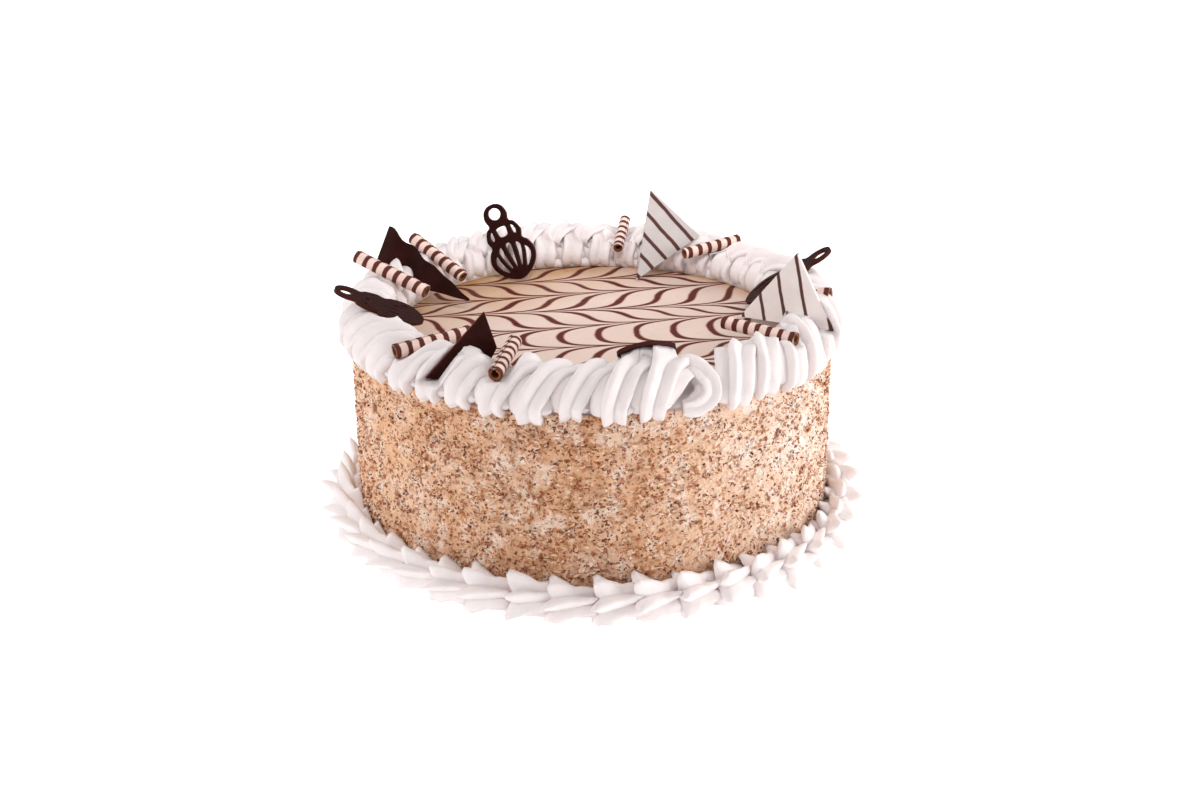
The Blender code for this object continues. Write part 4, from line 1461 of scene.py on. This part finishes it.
def leaf_mesh(name, length, openness):
    """Filigree leaf: a flat form with openings, X along its length from the bottom point."""
    half = list(LEAF_HALF)
    outlines = [half + [(-x, y) for x, y in reversed(half[1:])]]
    outlines += [shrunk(hole, openness) for hole in LEAF_SIDE_HOLES]
    outlines += [shrunk([(-x, y) for x, y in hole], openness) for hole in LEAF_SIDE_HOLES]
    outlines += [shrunk(hole, openness) for hole in LEAF_MIDDLE_HOLES]
    centre, wide, tall = LEAF_LOOP
    angles = np.arange(LEAF_LOOP_POINTS) * math.pi / (LEAF_LOOP_POINTS * 0.5)
    outlines.append(np.stack([wide * np.sin(angles), centre + tall * np.cos(angles)], axis=1))
    scale = (length, LEAF_LENGTH)
    loops = [smooth_loop(outline, LEAF_SMOOTHING)[:, ::-1] * scale for outline in outlines]
    edges = []
    for loop in loops:
        first = len(edges)
        edges += [(first + step, first + (step + 1) % len(loop)) for step in range(len(loop))]
    corners = [Vector(corner) for corner in np.vstack(loops).tolist()]
    places, _, triangles, *_ = geometry.delaunay_2d_cdt(corners, edges, [], 0, LEAF_JOIN)
    kept = []
    for triangle in triangles:
        middle = sum((places[corner] for corner in triangle), Vector((0.0, 0.0))) / 3.0
        if inside_loop(middle, loops[0]) and not any(inside_loop(middle, loop) for loop in loops[1:]):
            kept.append(triangle)
    sides = [(start, end) for a, b, c in kept for start, end in ((a, b), (b, c), (c, a))]
    shared = {(end, start) for start, end in sides}
    count = len(places)
    faces = [tuple(reversed(triangle)) for triangle in kept]
    faces += [tuple(count + corner for corner in triangle) for triangle in kept]
    rims = [side for side in sides if side not in shared]
    faces += [(start, end, count + end, count + start) for start, end in rims]
    levels = (-LEAF_THICKNESS * 0.5, LEAF_THICKNESS * 0.5)
    points = np.array([(*place, level) for level in levels for place in places])
    mesh = mesh_from(name, points, faces)
    outward(mesh)
    return mesh


def leaf_placing(node):
    """Placing and length of a leaf, read from its node: X runs from its point to its loop."""
    points = node_points(node)
    middle, axes = principal_axes(points)
    places = (points - middle) @ axes.T
    along, side = Vector(axes[0]), Vector(axes[1])
    widest = places[np.argmax(np.abs(places[:, 1]))]
    low, high = places[:, 0].min(), places[:, 0].max()
    if widest[0] > (low + high) * 0.5:
        along = -along
        low, high = -high, -low
    start = Vector(middle) + along * float(low)
    length = float(high - low)
    tipping = Matrix.Rotation(math.radians(LEAF_TIPPING.get(node, 0.0)), 4, "Y")
    centre = Matrix.Translation((length * 0.5, 0.0, 0.0))
    return placing_from(start, along, side) @ centre @ tipping @ centre.inverted(), length


def soft_light(name, place, size, power, aim, spread):
    """Add a soft light that shines at the torte."""
    light = bpy.data.lights.new(name, "AREA")
    light.shape = "DISK"
    light.size = size
    light.energy = power
    light.spread = math.radians(spread)
    lamp = bpy.data.objects.new(name, light)
    lamp.location = place
    lamp.rotation_euler = (Vector(aim) - Vector(place)).to_track_quat("-Z", "Y").to_euler()
    bpy.context.scene.collection.objects.link(lamp)


def add_camera():
    """Camera at the fitted view."""
    down = math.sin(CAMERA_PITCH)
    level = math.cos(CAMERA_PITCH)
    forward = Vector((0.0, level, -down))
    right = Vector((1.0, 0.0, 0.0))
    above = Vector((0.0, down, level))
    tilted_right = right * math.cos(CAMERA_ROLL) + above * math.sin(CAMERA_ROLL)
    tilted_above = above * math.cos(CAMERA_ROLL) - right * math.sin(CAMERA_ROLL)
    place = Vector((0.0, 0.0, CAMERA_HEIGHT)) - forward * CAMERA_DISTANCE
    place = place + tilted_right * CAMERA_AIM[0] + tilted_above * CAMERA_AIM[1]
    turn = Matrix((tilted_right, tilted_above, -forward)).transposed().to_4x4()
    lens = bpy.data.cameras.new("camera")
    lens.lens = CAMERA_LENS
    lens.sensor_width = CAMERA_SENSOR
    camera = bpy.data.objects.new("camera", lens)
    camera.matrix_world = Matrix.Translation(place) @ turn
    bpy.context.scene.collection.objects.link(camera)
    bpy.context.scene.camera = camera


class TORTE_OT_stage(bpy.types.Operator):
    """Add the pale floor, the soft studio light and the camera"""

    bl_idname = "torte.stage"
    bl_label = "Stage"

    def execute(self, context):
        corners = [(-1.0, -1.0, 0.0), (1.0, -1.0, 0.0), (1.0, 1.0, 0.0), (-1.0, 1.0, 0.0)]
        mesh = mesh_from("floor", np.array(corners) * FLOOR_HALF, [(0, 1, 2, 3)])
        mesh.materials.append(floor_material())
        floor = bpy.data.objects.new("floor", mesh)
        context.scene.collection.objects.link(floor)
        world = bpy.data.worlds.new("studio")
        world.use_nodes = True
        background = world.node_tree.nodes["Background"]
        background.inputs["Color"].default_value = STUDIO_COLOUR
        background.inputs["Strength"].default_value = STUDIO_STRENGTH
        context.scene.world = world
        for light in LIGHTS:
            soft_light(*light)
        context.scene.view_settings.view_transform = "Standard"
        add_camera()
        return {"FINISHED"}


class TORTE_OT_nut_coat(bpy.types.Operator):
    """Add the nut-coated side of the cake and its crumbs"""

    bl_idname = "torte.nut_coat"
    bl_label = "Nut coat"

    def execute(self, context):
        sizes, colours = context.scene.torte_sizes, context.scene.torte_colours
        material = coat_material(tuple(colours.nuts))
        add_piece("nut_coat", coat_mesh(), material, ["cake_body"])
        chance = np.random.default_rng(RANDOM_SEED)
        for name, count, smallest, largest, flatness, evenness, depth, *look in CRUMBS:
            amount = int(count * sizes.crumb_share)
            mesh = crumb_mesh(name, amount, smallest, largest, flatness, evenness, depth, chance)
            first, second, roughness, toning = look
            material = crumb_material(name, SHADES[first], SHADES[second], roughness, toning)
            add_piece(name, mesh, material)
        return {"FINISHED"}


class TORTE_OT_icing(bpy.types.Operator):
    """Give the icing its feathered pattern"""

    bl_idname = "torte.icing"
    bl_label = "Feathered icing"

    def execute(self, context):
        material = icing_material(context.scene.torte_colours, context.scene.torte_sizes.line_width)
        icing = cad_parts["icing_disc"]
        icing.data.materials.clear()
        icing.data.materials.append(material)
        return {"FINISHED"}


class TORTE_OT_cream(bpy.types.Operator):
    """Add the rope of cream on the rim and the shells round the foot"""

    bl_idname = "torte.cream"
    bl_label = "Piped cream"

    def execute(self, context):
        sizes = context.scene.torte_sizes
        colour = tuple(context.scene.torte_colours.cream)
        material = cream_material("whipped_cream", colour)
        chance = np.random.default_rng(RANDOM_SEED + 1)
        rope = rope_mesh(sizes.rope_coils, sizes.rope_tube, chance)
        add_piece("rim_rope", rope, material, ["top_cream"])
        shells = shell_mesh(sizes.shell_count, chance)
        # The foot's cream is a lighter copy of the rim's cream: painted light
        material = cream_material("foot_cream_painted_lighter", lighter(colour, FOOT_PAINTED_LIGHT))
        add_piece("foot_shells", shells, material, ["base_cream"])
        return {"FINISHED"}


class TORTE_OT_wafer_rolls(bpy.types.Operator):
    """Add the striped wafer rolls"""

    bl_idname = "torte.wafer_rolls"
    bl_label = "Wafer rolls"

    def execute(self, context):
        material = wafer_material(context.scene.torte_colours)
        for node in ROLL_NODES:
            placing, length, radius = roll_placing(node)
            mesh = roll_mesh("wafer_" + node, length, radius)
            add_piece("wafer_" + node, mesh, material, [node], placing)
        return {"FINISHED"}


class TORTE_OT_dark_plates(bpy.types.Operator):
    """Add the flat and the wavy plate of dark chocolate"""

    bl_idname = "torte.dark_plates"
    bl_label = "Dark chocolate plates"

    def execute(self, context):
        colour = tuple(context.scene.torte_colours.dark_chocolate)
        material = dark_chocolate_material("dark_chocolate", colour, PLATE_PAINTED_HIGHLIGHT_SHARE)
        plate = add_plate("dark_plate", "dark_triangle", material)
        round_edges(plate, PLATE_ROUNDING * 2.0, 3)
        material = dark_chocolate_material("wave_chocolate", colour, WAVE_PAINTED_HIGHLIGHT_SHARE)
        wave = add_piece("dark_wave_plate", wave_mesh(), material, ["dark_wave"])
        round_edges(wave, PLATE_ROUNDING, 2)
        return {"FINISHED"}


class TORTE_OT_striped_plates(bpy.types.Operator):
    """Add the striped plates of white chocolate"""

    bl_idname = "torte.striped_plates"
    bl_label = "Striped plates"

    def execute(self, context):
        colours = context.scene.torte_colours
        for node, stripes in STRIPES.items():
            name = node.replace("triangle", "plate")
            material = striped_chocolate_material(name, colours, *stripes)
            plate = add_plate(name, node, material)
            round_edges(plate, PLATE_ROUNDING, 3)
        return {"FINISHED"}


class TORTE_OT_leaves(bpy.types.Operator):
    """Add the filigree leaves of dark chocolate"""

    bl_idname = "torte.leaves"
    bl_label = "Filigree leaves"

    def execute(self, context):
        colour = tuple(context.scene.torte_colours.dark_chocolate)
        material = dark_chocolate_material("leaf_chocolate", colour, LEAF_PAINTED_HIGHLIGHT_SHARE)
        for node in LEAF_NODES:
            placing, length = leaf_placing(node)
            name = node.replace("lattice", "leaf")
            mesh = leaf_mesh(name, length, LEAF_OPENNESS[node])
            leaf = add_piece(name, mesh, material, [node], placing)
            round_edges(leaf, PLATE_ROUNDING, 2)
        return {"FINISHED"}


class TORTE_PT_panel(bpy.types.Panel):
    """Panel in the 3D view's sidebar with the torte's settings and steps"""

    bl_label = "Esterhazy torte"
    bl_space_type = "VIEW_3D"
    bl_region_type = "UI"
    bl_category = "Torte"

    def draw(self, context):
        layout = self.layout
        for settings in (context.scene.torte_sizes, context.scene.torte_colours):
            box = layout.box()
            for name in settings.bl_rna.properties.keys():
                if name not in ("rna_type", "name"):
                    box.prop(settings, name)
        for step in STEPS:
            layout.operator(step.bl_idname)


STEPS = (
    TORTE_OT_nut_coat,
    TORTE_OT_icing,
    TORTE_OT_cream,
    TORTE_OT_wafer_rolls,
    TORTE_OT_dark_plates,
    TORTE_OT_striped_plates,
    TORTE_OT_leaves,
    TORTE_OT_stage,
)
CLASSES = (TorteSizes, TorteColours, *STEPS, TORTE_PT_panel)


def register():
    """Register the classes and the settings."""
    for item in CLASSES:
        bpy.utils.register_class(item)
    bpy.types.Scene.torte_sizes = PointerProperty(type=TorteSizes)
    bpy.types.Scene.torte_colours = PointerProperty(type=TorteColours)


def unregister():
    """Remove the settings and the classes."""
    del bpy.types.Scene.torte_colours
    del bpy.types.Scene.torte_sizes
    for item in reversed(CLASSES):
        bpy.utils.unregister_class(item)


def main():
    """Build the whole scene."""
    register()
    bpy.ops.torte.nut_coat()
    bpy.ops.torte.icing()
    bpy.ops.torte.cream()
    bpy.ops.torte.wafer_rolls()
    bpy.ops.torte.dark_plates()
    bpy.ops.torte.striped_plates()
    bpy.ops.torte.leaves()
    bpy.ops.torte.stage()


if __name__ == "__main__":
    main()
